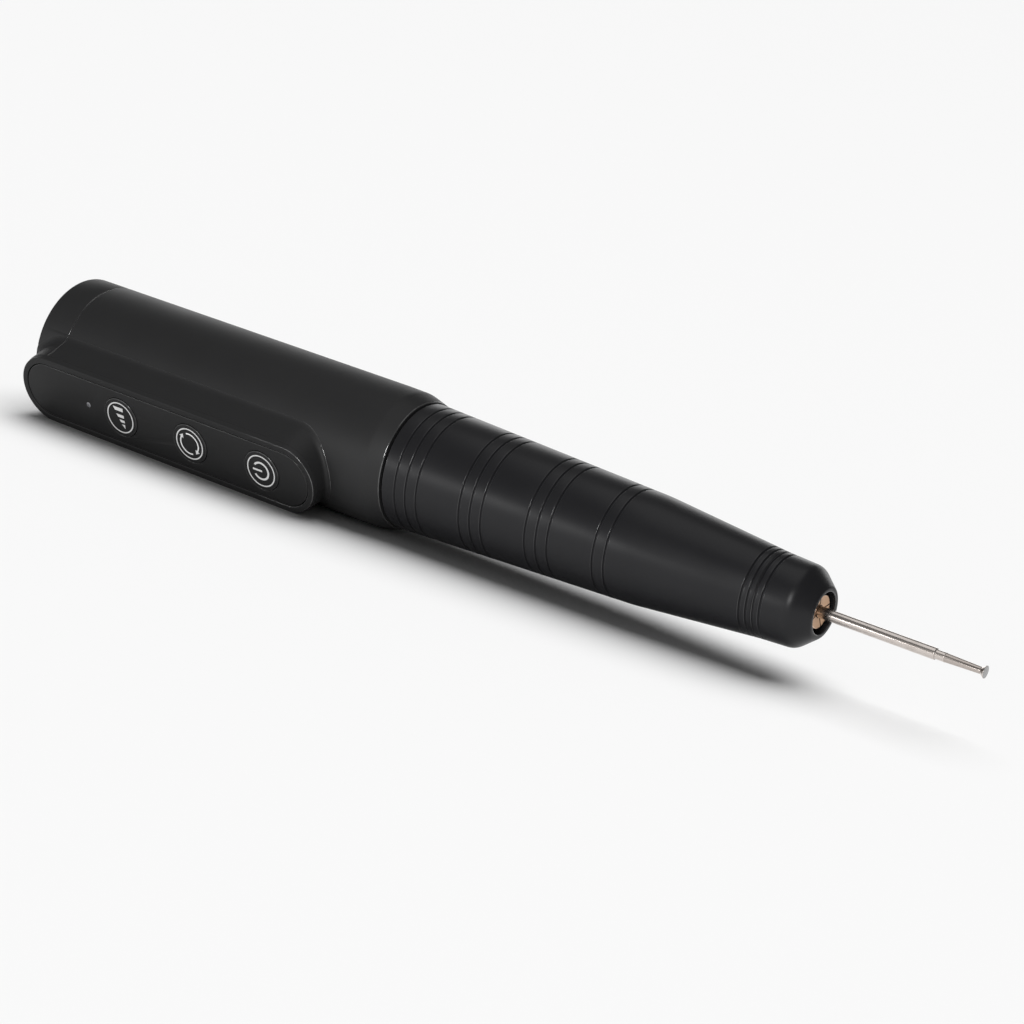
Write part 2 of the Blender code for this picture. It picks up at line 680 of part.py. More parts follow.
def make_rear_cap():
    outer = [(0.0, CAP_SEAM + OVERRUN), (BODY_RADIUS, CAP_SEAM + OVERRUN)]
    for step in range(EDGE_STEPS + 1):
        angle = pi / 2 * step / EDGE_STEPS
        radius = BODY_RADIUS - CAP_EDGE * (1 - cos(angle))
        outer.append((radius, CAP_EDGE * (1 - sin(angle)) - BODY_LENGTH))
    outer.append((0.0, -BODY_LENGTH))
    cap = turned("rear_cap", TOOL, (0.0, 0.0, 0.0), outer, BODY_STEPS)
    join(cap, panel_boss())
    cut(
        cap,
        slab("before_seam", CAP_SEAM - GAP / 2, BODY_LENGTH),
        usb_slot("usb_mouth", GAP, -BODY_LENGTH - OVERRUN, CAP_FLOOR + OVERRUN),
        rod("cap_core", CAP_FLOOR, BODY_BORE, BODY_LENGTH, BODY_STEPS),
    )
    spigot_radius = BODY_BORE - FIT
    spigot = [
        (spigot_radius - SPIGOT_WALL, CAP_SEAM + SPIGOT_LENGTH),
        (spigot_radius, CAP_SEAM + SPIGOT_LENGTH),
        (spigot_radius, CAP_SEAM - GAP),
        (BODY_BORE + GAP, CAP_SEAM - GAP),
        (BODY_BORE + GAP, CAP_SEAM - SPIGOT_ROOT),
        (spigot_radius - SPIGOT_WALL, CAP_SEAM - SPIGOT_ROOT),
    ]
    join(cap, turned("spigot", TOOL, (0.0, 0.0, 0.0), spigot, BODY_STEPS))
    half_width = USB_WIDTH / 2 + 2 * GAP
    low = (CAP_FLOOR + GAP, -half_width, BOARD_BASE - GAP - USB_HEIGHT - 2 * GAP)
    high = (0.0, half_width, BOARD_BASE + GAP / 2)
    cut(
        cap,
        board_pocket(),
        box("usb_bay", low, high, PANEL),
    )
    done(cap, "matte_black")


def make_panel_bezel():
    sections = [panel_section(0.0, PLATE_BASE)]
    for step in range(EDGE_STEPS + 1):
        angle = pi / 2 * step / EDGE_STEPS
        inset = BEZEL_EDGE * (1 - cos(angle))
        sections.append(straight_section(inset, PANEL_HEIGHT - BEZEL_EDGE * (1 - sin(angle))))
    sections.append(straight_section(BEZEL_WIDTH, PANEL_HEIGHT))
    sections.append(straight_section(BEZEL_WIDTH, PLATE_BASE))
    bezel = lofted("panel_bezel", sections, (PANEL_MIDDLE, 0.0, 0.0), looped=True)
    done(bezel, "matte_black")


def make_panel_plate():
    plate = prism("panel_plate", BEZEL_WIDTH + GAP, PLATE_BASE, PANEL_HEIGHT - PLATE_RECESS)
    for name, place in (("speed", SPEED_PLACE), ("direction", DIRECTION_PLACE), ("power", POWER_PLACE)):
        start = PLATE_BASE - OVERRUN
        length = BEZEL_THICKNESS + 2 * OVERRUN
        cut(plate, rod(name + "_hole", start, BUTTON_HOLE_RADIUS, length, INNER_STEPS, PANEL, (place, 0.0)))
    light_hole = rod(
        "light_hole", PLATE_BASE - OVERRUN, LENS_RADIUS + FIT, BEZEL_THICKNESS + 2 * OVERRUN,
        PIN_STEPS, PANEL, (LIGHT_PLACE, 0.0),
    )
    cut(plate, light_hole)
    done(plate, "panel_black")


def make_button(name, place):
    """A cap with a flange that keeps it under the plate. It slides along the panel's normal."""
    top = PANEL_HEIGHT + BUTTON_RISE - FLANGE_BASE
    flange = FLANGE_TOP - FLANGE_BASE
    profile = [
        (0.0, top),
        (BUTTON_RADIUS - BUTTON_EDGE, top),
        (BUTTON_RADIUS, top - BUTTON_EDGE),
        (BUTTON_RADIUS, flange),
        (BUTTON_HOLE_RADIUS + FLANGE_WIDTH, flange),
        (BUTTON_HOLE_RADIUS + FLANGE_WIDTH, 0.0),
        (0.0, 0.0),
    ]
    button = turned(name + "_button", PANEL, (place, 0.0, FLANGE_BASE), profile, INNER_STEPS)
    done(button, "panel_black")


def make_switch(name, place):
    """A tactile switch: a square base with a round socket, and the plunger in it."""
    half = SWITCH_WIDTH / 2
    base = box(name + "_switch", (place - half, -half, PARTS_BASE), (place + half, half, SWITCH_TOP), PANEL)
    floor = SWITCH_TOP - SOCKET_DEPTH
    socket_radius = PLUNGER_RADIUS + GAP
    cut(base, rod(name + "_socket", floor, socket_radius, SWITCH_HEIGHT, PIN_STEPS, PANEL, (place, 0.0)))
    done(base, "bright_steel")
    start = floor + BUTTON_TRAVEL + PLUNGER_FLOOR_GAP
    length = FLANGE_BASE - GAP - start
    plunger = rod(name + "_plunger", start, PLUNGER_RADIUS, length, PIN_STEPS, PANEL, (place, 0.0))
    done(plunger, "chip_black")


def make_status_light():
    low = (LIGHT_PLACE - LIGHT_LENGTH / 2, -LIGHT_WIDTH / 2, PARTS_BASE)
    high = (LIGHT_PLACE + LIGHT_LENGTH / 2, LIGHT_WIDTH / 2, PARTS_BASE + LIGHT_HEIGHT)
    done(box("status_led", low, high, PANEL), "white_plastic")
    start = PARTS_BASE + LIGHT_HEIGHT + GAP
    length = PANEL_HEIGHT - PLATE_RECESS - start
    done(rod("led_lens", start, LENS_RADIUS, length, PIN_STEPS, PANEL, (LIGHT_PLACE, 0.0)), "lens_grey")


def make_control_board():
    board = prism("control_board", POCKET_INSET + GAP, BOARD_BASE, BOARD_TOP)
    cut(
        board,
        screw_hole("board_hole_front", SCREW_FRONT_PLACE, BOARD_TOP),
        screw_hole("board_hole_rear", SCREW_REAR_PLACE, BOARD_TOP),
    )
    done(board, "board_green")


def make_chip(name, place, length):
    low = (place - length / 2, -CHIP_WIDTH / 2, PARTS_BASE)
    high = (place + length / 2, CHIP_WIDTH / 2, PARTS_BASE + CHIP_HEIGHT)
    done(box(name, low, high, PANEL), "chip_black")


def make_screw(name, frame, place, aside, head, shank):
    """A pan head on a plain shank, given as (radius, length) each. The place is under the head."""
    head_radius, head_height = head
    radius, length = shank
    profile = [
        (0.0, head_height),
        (head_radius, head_height),
        (head_radius, 0.0),
        (radius, 0.0),
        (radius, -length),
        (0.0, -length),
    ]
    done(turned(name, frame, (*aside, place), profile, PIN_STEPS), "bright_steel")


def make_board_screws():
    head = (BOARD_SCREW_HEAD_RADIUS, BOARD_SCREW_HEAD_HEIGHT)
    shank = (BOARD_SCREW_RADIUS, PARTS_BASE - POCKET_FLOOR + BOARD_SCREW_BITE)
    make_screw("board_screw_front", PANEL, PARTS_BASE, (SCREW_FRONT_PLACE, 0.0), head, shank)
    make_screw("board_screw_rear", PANEL, PARTS_BASE, (SCREW_REAR_PLACE, 0.0), head, shank)


def make_usb_socket():
    """A metal shell with a contact tongue in its open end."""
    start = USB_SET_BACK - BODY_LENGTH
    end = start + USB_LENGTH
    socket = usb_slot("usb_socket", 0.0, start, end)
    cut(socket, usb_slot("usb_hollow", -USB_SHELL, start - OVERRUN, end - USB_SHELL))
    middle = BOARD_BASE - GAP - USB_HEIGHT / 2
    half = USB_TONGUE_THICKNESS / 2
    low = (start + USB_TONGUE_SET, -USB_TONGUE_WIDTH / 2, middle - half)
    high = (end - USB_SHELL / 2, USB_TONGUE_WIDTH / 2, middle + half)
    join(socket, box("usb_tongue", low, high, PANEL))
    done(socket, "bright_steel")


def make_battery():
    profile = [
        (0.0, CELL_LENGTH),
        (CELL_TERMINAL_RADIUS, CELL_LENGTH),
        (CELL_TERMINAL_RADIUS, CELL_LENGTH - CELL_TERMINAL_HEIGHT),
        (CELL_RADIUS - CELL_EDGE, CELL_LENGTH - CELL_TERMINAL_HEIGHT),
        (CELL_RADIUS, CELL_LENGTH - CELL_TERMINAL_HEIGHT - CELL_EDGE),
        (CELL_RADIUS, 0.0),
        (0.0, 0.0),
    ]
    done(turned("battery_cell", TOOL, (0.0, 0.0, CELL_REAR), profile, INNER_STEPS), "cell_wrap")
    front = rod("battery_contact_front", CELL_FRONT + GAP, CONTACT_RADIUS, CONTACT_THICKNESS)
    done(front, "nickel")
    contact_rear = CELL_REAR - GAP - CONTACT_THICKNESS
    done(rod("battery_contact_rear", contact_rear, CONTACT_RADIUS, CONTACT_THICKNESS), "nickel")
    done(rod("foam_pad", CAP_FLOOR + GAP, CELL_RADIUS, PAD_LENGTH), "foam")


def make_battery_cradle():
    """A half shell with ribs that centre the cell in the body, open towards the panel."""
    inner = CELL_RADIUS + GAP
    shell = inner + CRADLE_WALL
    outer = BODY_BORE - GAP
    length = CELL_LENGTH - 2 * CRADLE_INSET
    middle = length / 2
    half_rib = CRADLE_RIB_WIDTH / 2
    profile = [
        (inner, length),
        (outer, length),
        (outer, length - CRADLE_RIB_WIDTH),
        (shell, length - CRADLE_RIB_WIDTH),
        (shell, middle + half_rib),
        (outer, middle + half_rib),
        (outer, middle - half_rib),
        (shell, middle - half_rib),
        (shell, CRADLE_RIB_WIDTH),
        (outer, CRADLE_RIB_WIDTH),
        (outer, 0.0),
        (inner, 0.0),
    ]
    rear = CELL_REAR + CRADLE_INSET
    cradle = turned("battery_cradle", TOOL, (0.0, 0.0, rear), profile, INNER_STEPS)
    reach = 2 * BODY_RADIUS
    half = box("panel_side", (-2 * BODY_LENGTH, -reach, GAP), (OVERRUN, reach, reach), PANEL)
    cut(cradle, half)
    done(cradle, "white_plastic")


def make_lead(name, look, across, start):
    """An insulated wire that rises from one place along the tool to the board."""
    points = []
    for index in range(ARC_STEPS):
        share = index / (ARC_STEPS - 1)
        along = start + (LEAD_MIDDLE - start) * (1 - cos(pi * share)) / 2
        height = LEAD_REST + (BOARD_BASE - GAP - LEAD_REST) * share
        points.append((along, across, height))
    done(tube(name, points, WIRE_RADIUS, LEAD_BEVEL_STEPS, PANEL), look)


def make_leads():
    """Two leads rise from the motor's end and two from the front contact, side by side."""
    inner = WIRE_SPACING / 2
    outer = inner + WIRE_SPACING
    battery_start = CELL_FRONT + 2 * GAP + CONTACT_THICKNESS + WIRE_RADIUS
    make_lead("battery_lead_red", "wire_red", outer, battery_start)
    make_lead("battery_lead_black", "wire_black", -outer, battery_start)
    motor_start = MOTOR_CAP_REAR - GAP - WIRE_RADIUS
    make_lead("motor_lead_red", "wire_red", inner, motor_start)
    make_lead("motor_lead_black", "wire_black", -inner, motor_start)


def make_motor():
    inner = MOTOR_RADIUS - MOTOR_WALL
    hole = SHAFT_RADIUS + GAP
    boss = MOTOR_LENGTH + MOTOR_BOSS_LENGTH
    profile = [
        (hole, boss),
        (MOTOR_BOSS_RADIUS, boss),
        (MOTOR_BOSS_RADIUS, MOTOR_LENGTH),
        (MOTOR_RADIUS - MOTOR_EDGE, MOTOR_LENGTH),
        (MOTOR_RADIUS, MOTOR_LENGTH - MOTOR_EDGE),
        (MOTOR_RADIUS, 0.0),
        (inner, 0.0),
        (inner, MOTOR_LENGTH - MOTOR_WALL),
        (hole, MOTOR_LENGTH - MOTOR_WALL),
    ]
    can = turned("motor_can", TOOL, (0.0, 0.0, CAN_REAR), profile, INNER_STEPS)
    cut(can, *mount_screw_holes("can_hole", CAN_FRONT - MOTOR_WALL - OVERRUN, MOTOR_WALL + 2 * OVERRUN))
    done(can, "dark_steel")
    cap = [
        (hole, MOTOR_CAP_FLANGE + MOTOR_CAP_SPIGOT),
        (inner - GAP, MOTOR_CAP_FLANGE + MOTOR_CAP_SPIGOT),
        (inner - GAP, MOTOR_CAP_FLANGE),
        (MOTOR_RADIUS, MOTOR_CAP_FLANGE),
        (MOTOR_RADIUS, 0.0),
        (MOTOR_BOSS_RADIUS, 0.0),
        (MOTOR_BOSS_RADIUS, -MOTOR_CAP_BOSS),
        (hole, -MOTOR_CAP_BOSS),
    ]
    done(turned("motor_end_cap", TOOL, (0.0, 0.0, MOTOR_CAP_REAR), cap, INNER_STEPS), "white_plastic")
    make_magnet("magnet_panel_side", 1)
    make_magnet("magnet_far_side", -1)


def make_magnet(name, side):
    """An arc of ferrite, one of the pair in the can."""
    outer, inner = MAGNET_OUTER, MAGNET_OUTER - MAGNET_THICKNESS
    magnet = ring(name, MAGNET_REAR, outer, inner, MAGNET_LENGTH, INNER_STEPS)
    reach = 2 * MOTOR_RADIUS
    ends = sorted((side * MAGNET_HALF_SPACING, -side * reach))
    cut(magnet, box(name + "_cutter", (-2 * BODY_LENGTH, -reach, ends[0]), (OVERRUN, reach, ends[1]), PANEL))
    done(magnet, "ferrite")


def mount_screw_holes(name, start, length):
    radius = MOUNT_SCREW_RADIUS + GAP
    return [
        rod(name + str(side), start, radius, length, PIN_STEPS, TOOL, (0.0, side * MOUNT_SCREW_CIRCLE))
        for side in (-1, 1)
    ]


def make_motor_mount():
    bore = MOTOR_BOSS_RADIUS + GAP
    mount = ring("motor_mount", MOUNT_REAR, BODY_BORE - GAP, bore, MOUNT_THICKNESS, INNER_STEPS)
    seat = MOUNT_FRONT - GAP - MOUNT_SCREW_HEAD_HEIGHT
    seat_radius = MOUNT_SCREW_HEAD_RADIUS + GAP
    hole_radius = MOUNT_SCREW_RADIUS + GAP
    counterbore = [
        (0.0, MOUNT_FRONT + OVERRUN),
        (seat_radius, MOUNT_FRONT + OVERRUN),
        (seat_radius, seat),
        (hole_radius, seat),
        (hole_radius, MOUNT_REAR - OVERRUN),
        (0.0, MOUNT_REAR - OVERRUN),
    ]
    head = (MOUNT_SCREW_HEAD_RADIUS, MOUNT_SCREW_HEAD_HEIGHT - GAP)
    shank = (MOUNT_SCREW_RADIUS, seat + GAP - CAN_FRONT + MOTOR_WALL)
    for side, name in ((-1, "motor_screw_left"), (1, "motor_screw_right")):
        aside = (0.0, side * MOUNT_SCREW_CIRCLE)
        cut(mount, turned(name + "_seat", TOOL, (*aside, 0.0), counterbore, PIN_STEPS))
        make_screw(name, TOOL, seat + GAP, aside, head, shank)
    done(mount, "aluminium")


def make_rotor():
    core = ring("rotor_core", ROTOR_REAR, ROTOR_RADIUS, SHAFT_RADIUS + FIT, ROTOR_LENGTH, INNER_STEPS)
    bottom = ROTOR_RADIUS * (1 - ROTOR_SLOT_SHARE)
    half = ROTOR_SLOT_WIDTH / 2
    for index in range(ROTOR_SLOT_COUNT):
        low = (bottom, -half, -OVERRUN)
        high = (2 * ROTOR_RADIUS, half, ROTOR_LENGTH + OVERRUN)
        slot = box("rotor_slot" + str(index), low, high, TOOL)
        slot.data.transform(Matrix.Translation(slot.location))
        slot.data.transform(Matrix.Rotation(2 * pi * index / ROTOR_SLOT_COUNT, 4, "Z"))
        slot.location = (0.0, 0.0, ROTOR_REAR)
        cut(core, slot)
    done(core, "dark_steel")
    commutator_rear = ROTOR_REAR - GAP - COMMUTATOR_LENGTH
    commutator = ring("commutator", commutator_rear, COMMUTATOR_RADIUS, SHAFT_RADIUS + FIT, COMMUTATOR_LENGTH)
    done(commutator, "bronze")
    rear = MOTOR_CAP_REAR - MOTOR_CAP_BOSS - SHAFT_REAR
    shaft_front = SPINDLE_REAR - SHAFT_SET
    done(rod("motor_shaft", rear, SHAFT_RADIUS, shaft_front - rear), "bright_steel")


def make_coupling():
    """A sleeve that grips the motor's shaft behind and the spindle's tail in front."""
    length = COUPLING_REAR + SPINDLE_REAR + COUPLING_GRIP
    step = COUPLING_REAR + SPINDLE_REAR - GAP
    profile = [
        (SPINDLE_RADIUS + FIT, length),
        (COUPLING_RADIUS, length),
        (COUPLING_RADIUS, 0.0),
        (SHAFT_RADIUS + FIT, 0.0),
        (SHAFT_RADIUS + FIT, step),
        (SPINDLE_RADIUS + FIT, step),
    ]
    done(turned("drive_coupling", TOOL, (0.0, 0.0, -COUPLING_REAR), profile), "brass")


def make_spindle_housing():
    profile = [
        (HOUSING_BORE, HOUSING_FRONT),
        (HOUSING_NOSE_RADIUS, HOUSING_FRONT),
        (HOUSING_NOSE_RADIUS, HOUSING_STEP),
        (HOUSING_RADIUS, HOUSING_STEP),
        (HOUSING_RADIUS, HOUSING_FLANGE_FRONT),
        (NECK_BORE - GAP, HOUSING_FLANGE_FRONT),
        (NECK_BORE - GAP, HOUSING_REAR),
        (HOUSING_BORE, HOUSING_REAR),
        (HOUSING_BORE, REAR_BEARING + BEARING_WIDTH + GAP),
        (PUSHER_BORE, REAR_BEARING + BEARING_WIDTH + GAP),
        (PUSHER_BORE, HOUSING_STEP),
        (MIDDLE_BORE_RADIUS, HOUSING_STEP),
        (MIDDLE_BORE_RADIUS, FRONT_BEARING - GAP),
        (HOUSING_BORE, FRONT_BEARING - GAP),
    ]
    housing = turned("spindle_housing", TOOL, (0.0, 0.0, 0.0), profile, INNER_STEPS)
    half_width = PUSHER_PIN_RADIUS + GAP
    for side in (-1, 1):
        reach = sorted((0.0, side * 2 * HOUSING_RADIUS))
        low = (-half_width, reach[0], PUSHER_PIN_PLACE - half_width)
        high = (half_width, reach[1], PUSHER_PIN_PLACE + half_width + COLLET_TRAVEL)
        cut(housing, box("pin_slot" + str(side), low, high, TOOL))
    done(housing, "aluminium")


def make_bearing(name, place):
    """A deep-groove ball bearing: two races and a cage that joins its balls."""
    outer = ring(name + "_outer_race", place, BEARING_RADIUS, OUTER_RACE_BORE, BEARING_WIDTH, INNER_STEPS)
    done(outer, "bright_steel")
    inner = ring(name + "_inner_race", place, INNER_RACE_RADIUS, INNER_RACE_BORE, BEARING_WIDTH, INNER_STEPS)
    done(inner, "bright_steel")
    middle = place + BEARING_WIDTH / 2
    half_wall = CAGE_WALL / 2
    cage = ring(
        name + "_ball_cage", middle - CAGE_WIDTH / 2, BALL_CIRCLE + half_wall, BALL_CIRCLE - half_wall,
        CAGE_WIDTH, 2 * BALL_COUNT,
    )
    for index in range(BALL_COUNT):
        angle = pi * (2 * index + 1) / BALL_COUNT
        builder = bmesh.new()
        bmesh.ops.create_uvsphere(
            builder, u_segments=BALL_SEGMENT_COUNT, v_segments=BALL_RING_COUNT, radius=BALL_RADIUS
        )
        centre = (BALL_CIRCLE * cos(angle), BALL_CIRCLE * sin(angle), middle)
        join(cage, from_bmesh(name + "_ball" + str(index), builder, TOOL, centre))
    done(cage, "bright_steel")


def make_retaining_rings():
    inner = BEARING_RADIUS - RETAINER_WALL
    nose_ring = ring(
        "bearing_retaining_ring", RETAINER_REAR, BEARING_RADIUS, inner, RETAINER_WIDTH, INNER_STEPS,
    )
    done(nose_ring, "dark_steel")
    bore = HOUSING_RADIUS + FIT
    grip_ring = ring(
        "grip_retaining_ring", GRIP_RING_PLACE, CAM_RADIUS, bore, GRIP_RING_WIDTH, INNER_STEPS,
    )
    done(grip_ring, "dark_steel")


def make_spindle():
    mouth = SPINDLE_BORE + COLLET_CONE_RISE
    shoulder = ROD_RADIUS + COLLET_BODY_GAP
    profile = [
        (mouth, SPINDLE_FRONT),
        (SPINDLE_NOSE_RADIUS, SPINDLE_FRONT),
        (SPINDLE_NOSE_RADIUS, SPINDLE_NOSE_REAR),
        (SPINDLE_RADIUS, SPINDLE_NOSE_REAR),
        (SPINDLE_RADIUS, SPINDLE_REAR),
        (SPINDLE_BORE, SPINDLE_REAR),
        (SPINDLE_BORE, SHOULDER_PLACE),
        (shoulder, SHOULDER_PLACE),
        (shoulder, SHOULDER_PLACE + SHOULDER_THICKNESS),
        (SPINDLE_BORE, SHOULDER_PLACE + SHOULDER_THICKNESS),
        (SPINDLE_BORE, SPINDLE_FRONT - COLLET_CONE),
    ]
    spindle = turned("spindle", TOOL, (0.0, 0.0, 0.0), profile)
    half_width = RELEASE_PIN_RADIUS + GAP
    reach = 2 * SPINDLE_RADIUS
    low = (-reach, -half_width, RELEASE_PIN_PLACE - half_width)
    high = (reach, half_width, RELEASE_PIN_PLACE + half_width + COLLET_TRAVEL)
    cut(spindle, box("release_slot", low, high, TOOL))
    done(spindle, "bright_steel")


def make_collet():
    """A bronze collet. Its slots part the jaws, and its cone seats in the spindle's mouth."""
    cone_front = COLLET_LENGTH - COLLET_HEAD - GAP
    profile = [
        (COLLET_BORE, COLLET_LENGTH),
        (COLLET_RADIUS - COLLET_EDGE, COLLET_LENGTH),
        (COLLET_RADIUS, COLLET_LENGTH - COLLET_EDGE),
        (COLLET_RADIUS, COLLET_LENGTH - COLLET_HEAD),
        (COLLET_BODY_RADIUS + COLLET_CONE_RISE, COLLET_LENGTH - COLLET_HEAD),
        (COLLET_BODY_RADIUS + COLLET_CONE_RISE, cone_front),
        (COLLET_BODY_RADIUS, cone_front - COLLET_CONE),
        (COLLET_BODY_RADIUS, 0.0),
        (COLLET_BORE, 0.0),
    ]
    collet = turned("collet", TOOL, (0.0, 0.0, COLLET_REAR), profile)
    half = COLLET_SLOT_WIDTH / 2
    reach = 2 * COLLET_RADIUS
    start = COLLET_FRONT - COLLET_SLOT_LENGTH
    upright = box("collet_slot_a", (-half, -reach, start), (half, reach, COLLET_FRONT + OVERRUN), TOOL)
    level = box("collet_slot_b", (-reach, -half, start), (reach, half, COLLET_FRONT + OVERRUN), TOOL)
    cut(collet, upright, level)
    done(collet, "bronze")


def make_draw_rod():
    profile = [
        (0.0, ROD_FRONT - ROD_REAR),
        (ROD_TIP_RADIUS, ROD_FRONT - ROD_REAR),
        (ROD_TIP_RADIUS, ROD_STEP - ROD_REAR),
        (ROD_RADIUS, ROD_STEP - ROD_REAR),
        (ROD_RADIUS, ROD_HEAD_LENGTH),
        (ROD_HEAD_RADIUS, ROD_HEAD_LENGTH),
        (ROD_HEAD_RADIUS, 0.0),
        (0.0, 0.0),
    ]
    draw = turned("draw_rod", TOOL, (0.0, 0.0, ROD_REAR), profile)
    hole = crossbar("pin_hole", RELEASE_PIN_PLACE, RELEASE_PIN_RADIUS + FIT, SPINDLE_RADIUS, 0.0)
    cut(draw, hole)
    done(draw, "bright_steel")
    pin = crossbar("release_pin", RELEASE_PIN_PLACE, RELEASE_PIN_RADIUS, RELEASE_PIN_HALF_LENGTH, 0.0)
    done(pin, "dark_steel")


def make_collet_spring():
    """A compression spring round the draw rod, between its head and the spindle's shoulder."""
    coil_radius = (ROD_RADIUS + SPINDLE_BORE) / 2
    rise = SPRING_LENGTH - 2 * SPRING_WIRE_RADIUS
    steps = PIN_STEPS * SPRING_TURNS
    points = []
    for index in range(steps + 1):
        angle = 2 * pi * index / PIN_STEPS
        points.append((coil_radius * cos(angle), coil_radius * sin(angle), rise * index / steps))
    place = (0.0, 0.0, SPRING_REAR + SPRING_WIRE_RADIUS)
    done(tube("collet_spring", points, SPRING_WIRE_RADIUS, SPRING_BEVEL_STEPS, TOOL, place), "bright_steel")


def make_release_pusher():
    """A ring that pushes the release pin forward. Its two pins ride in the cam sleeve's slots."""
    bore = SPINDLE_RADIUS + PUSHER_RUNNING_GAP
    pusher = ring("release_pusher", PUSHER_REAR, PUSHER_BORE - GAP, bore, PUSHER_LENGTH, INNER_STEPS)
    inner = bore + CAM_WALL
    outer = CAM_RADIUS - GAP
    for side in (-1, 1):
        ends = [(0.0, side * inner, 0.0), (0.0, side * outer, 0.0)]
        place = (0.0, 0.0, PUSHER_PIN_PLACE)
        join(pusher, tube("pusher_pin" + str(side), ends, PUSHER_PIN_RADIUS, SLOT_BEVEL_STEPS, TOOL, place))
    done(pusher, "dark_steel")


def cam_slot(name, side):
    """The helical path of one pusher pin, as the grip is twisted, seen from the sleeve."""
    radius = CAM_BORE + CAM_WALL / 2
    reach = PUSHER_PIN_RADIUS + PUSHER_PIN_GAP
    spread = reach / radius
    points = []
    for index in range(ARC_STEPS + 1):
        twist = (GRIP_TWIST + 2 * spread) * index / ARC_STEPS - spread
        angle = side * pi / 2 - twist
        points.append((radius * cos(angle), radius * sin(angle), COLLET_TRAVEL * twist / GRIP_TWIST))
    return tube(name, points, reach, SLOT_BEVEL_STEPS, TOOL, (0.0, 0.0, PUSHER_PIN_PLACE))


def make_cam_sleeve():
    sleeve = ring("cam_sleeve", GAP, CAM_RADIUS, CAM_BORE, CAM_LENGTH, GRIP_STEPS)
    cut(sleeve, cam_slot("cam_slot_a", 1), cam_slot("cam_slot_b", -1))
    done(sleeve, "aluminium")


def grip_radius(along):
    """The grip's outer radius: two cones, a near-straight nose and a chamfer to the rim."""
    stations = [
        (0.0, GRIP_REAR_RADIUS),
        (WAIST_PLACE, WAIST_RADIUS),
        (GRIP_LENGTH - NOSE_LENGTH, NOSE_RADIUS),
        (GRIP_LENGTH - NOSE_FRONT_LENGTH, NOSE_FRONT_RADIUS),
        (GRIP_LENGTH, RIM_RADIUS),
    ]
    for (start, first), (end, last) in zip(stations, stations[1:]):
        if along <= end:
            return first + (last - first) * (along - start) / (end - start)
    return RIM_RADIUS


def groove_places():
    places = []
    for group, count in enumerate(GROOVE_GROUPS):
        start = GROOVE_FIRST + group * GROOVE_GROUP_PITCH
        places += [start + index * GROOVE_PITCH for index in range(count)]
    last = GRIP_LENGTH - NOSE_GROOVE_INSET
    places += [last - index * NOSE_GROOVE_PITCH for index in reversed(range(NOSE_GROOVE_COUNT))]
    return places


def make_grip_sleeve():
    """The twist grip: a tapered sleeve with turned grooves and a stepped bore."""
    stations = [0.0, WAIST_PLACE, GRIP_LENGTH - NOSE_LENGTH, GRIP_LENGTH - NOSE_FRONT_LENGTH, GRIP_LENGTH]
    half = GROOVE_WIDTH / 2
    points = {along: grip_radius(along) for along in stations}
    for place in groove_places():
        points[place - half] = grip_radius(place - half)
        points[place] = grip_radius(place) - GROOVE_DEPTH
        points[place + half] = grip_radius(place + half)
    outer = [(points[along], along) for along in sorted(points, reverse=True)]
    step = HOUSING_STEP + GAP
    inner = [
        (GRIP_BORE, 0.0),
        (GRIP_BORE, step),
        (GRIP_NOSE_BORE, step),
        (GRIP_NOSE_BORE, GRIP_LENGTH - MOUTH_LENGTH),
        (MOUTH_RADIUS, GRIP_LENGTH - MOUTH_LENGTH),
        (MOUTH_RADIUS, GRIP_LENGTH),
    ]
    done(turned("grip_sleeve", TOOL, (0.0, 0.0, 0.0), outer + inner, GRIP_STEPS), "satin_black")


def make_bit():
    """An inverted-cone engraving bit on a plain shank."""
    head = BIT_LENGTH - HEAD_LENGTH
    neck = head - NECK_LENGTH
    profile = [
        (0.0, BIT_LENGTH),
        (HEAD_RADIUS, BIT_LENGTH),
        (NECK_FRONT_RADIUS, head),
        (NECK_REAR_RADIUS, neck),
        (STEP_RADIUS, neck),
        (STEP_RADIUS, neck - STEP_LENGTH),
        (SHANK_RADIUS, neck - STEP_LENGTH),
        (SHANK_RADIUS, 0.0),
        (0.0, 0.0),
    ]
    done(turned("engraving_bit", TOOL, (0.0, 0.0, BIT_REAR), profile), "nickel")


def make_panel():
    make_panel_bezel()
    make_panel_plate()
    make_status_light()
    make_control_board()
    make_board_screws()
    for name, place in (("speed", SPEED_PLACE), ("direction", DIRECTION_PLACE), ("power", POWER_PLACE)):
        make_button(name, place)
        make_switch(name, place)
    make_chip("controller_chip", (SPEED_PLACE + DIRECTION_PLACE) / 2, CHIP_WIDTH)
    make_chip("motor_driver_chip", (DIRECTION_PLACE + POWER_PLACE) / 2, DRIVER_LENGTH)


def make_drive():
    make_motor()
    make_motor_mount()
    make_rotor()
    make_coupling()
    make_spindle_housing()
    make_bearing("rear_bearing", REAR_BEARING)
    make_bearing("front_bearing", FRONT_BEARING)
    make_retaining_rings()
    make_spindle()


def make_chuck():
    make_collet()
    make_draw_rod()
    make_collet_spring()
    make_release_pusher()
    make_cam_sleeve()
    make_grip_sleeve()
    make_bit()


make_main_housing()
make_rear_cap()
make_panel()
make_usb_socket()
make_battery()
make_battery_cradle()
make_leads()
make_drive()
make_chuck()
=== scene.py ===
"""The looks of a cordless mini rotary tool: a round black body with a raised key panel, a ringed twist
grip, a bronze collet and a steel engraving bit. Lengths are in metres.

Pieces are drawn in the tool's own frame and then turned into place: X runs along the tool from the seam
between body and grip towards the tip, Y runs across the panel, and Z is the panel's outward normal.
"""
from math import atan2, cos, hypot, pi, radians, sin, tan

import bmesh
import bpy
from mathutils import Matrix, Vector, kdtree


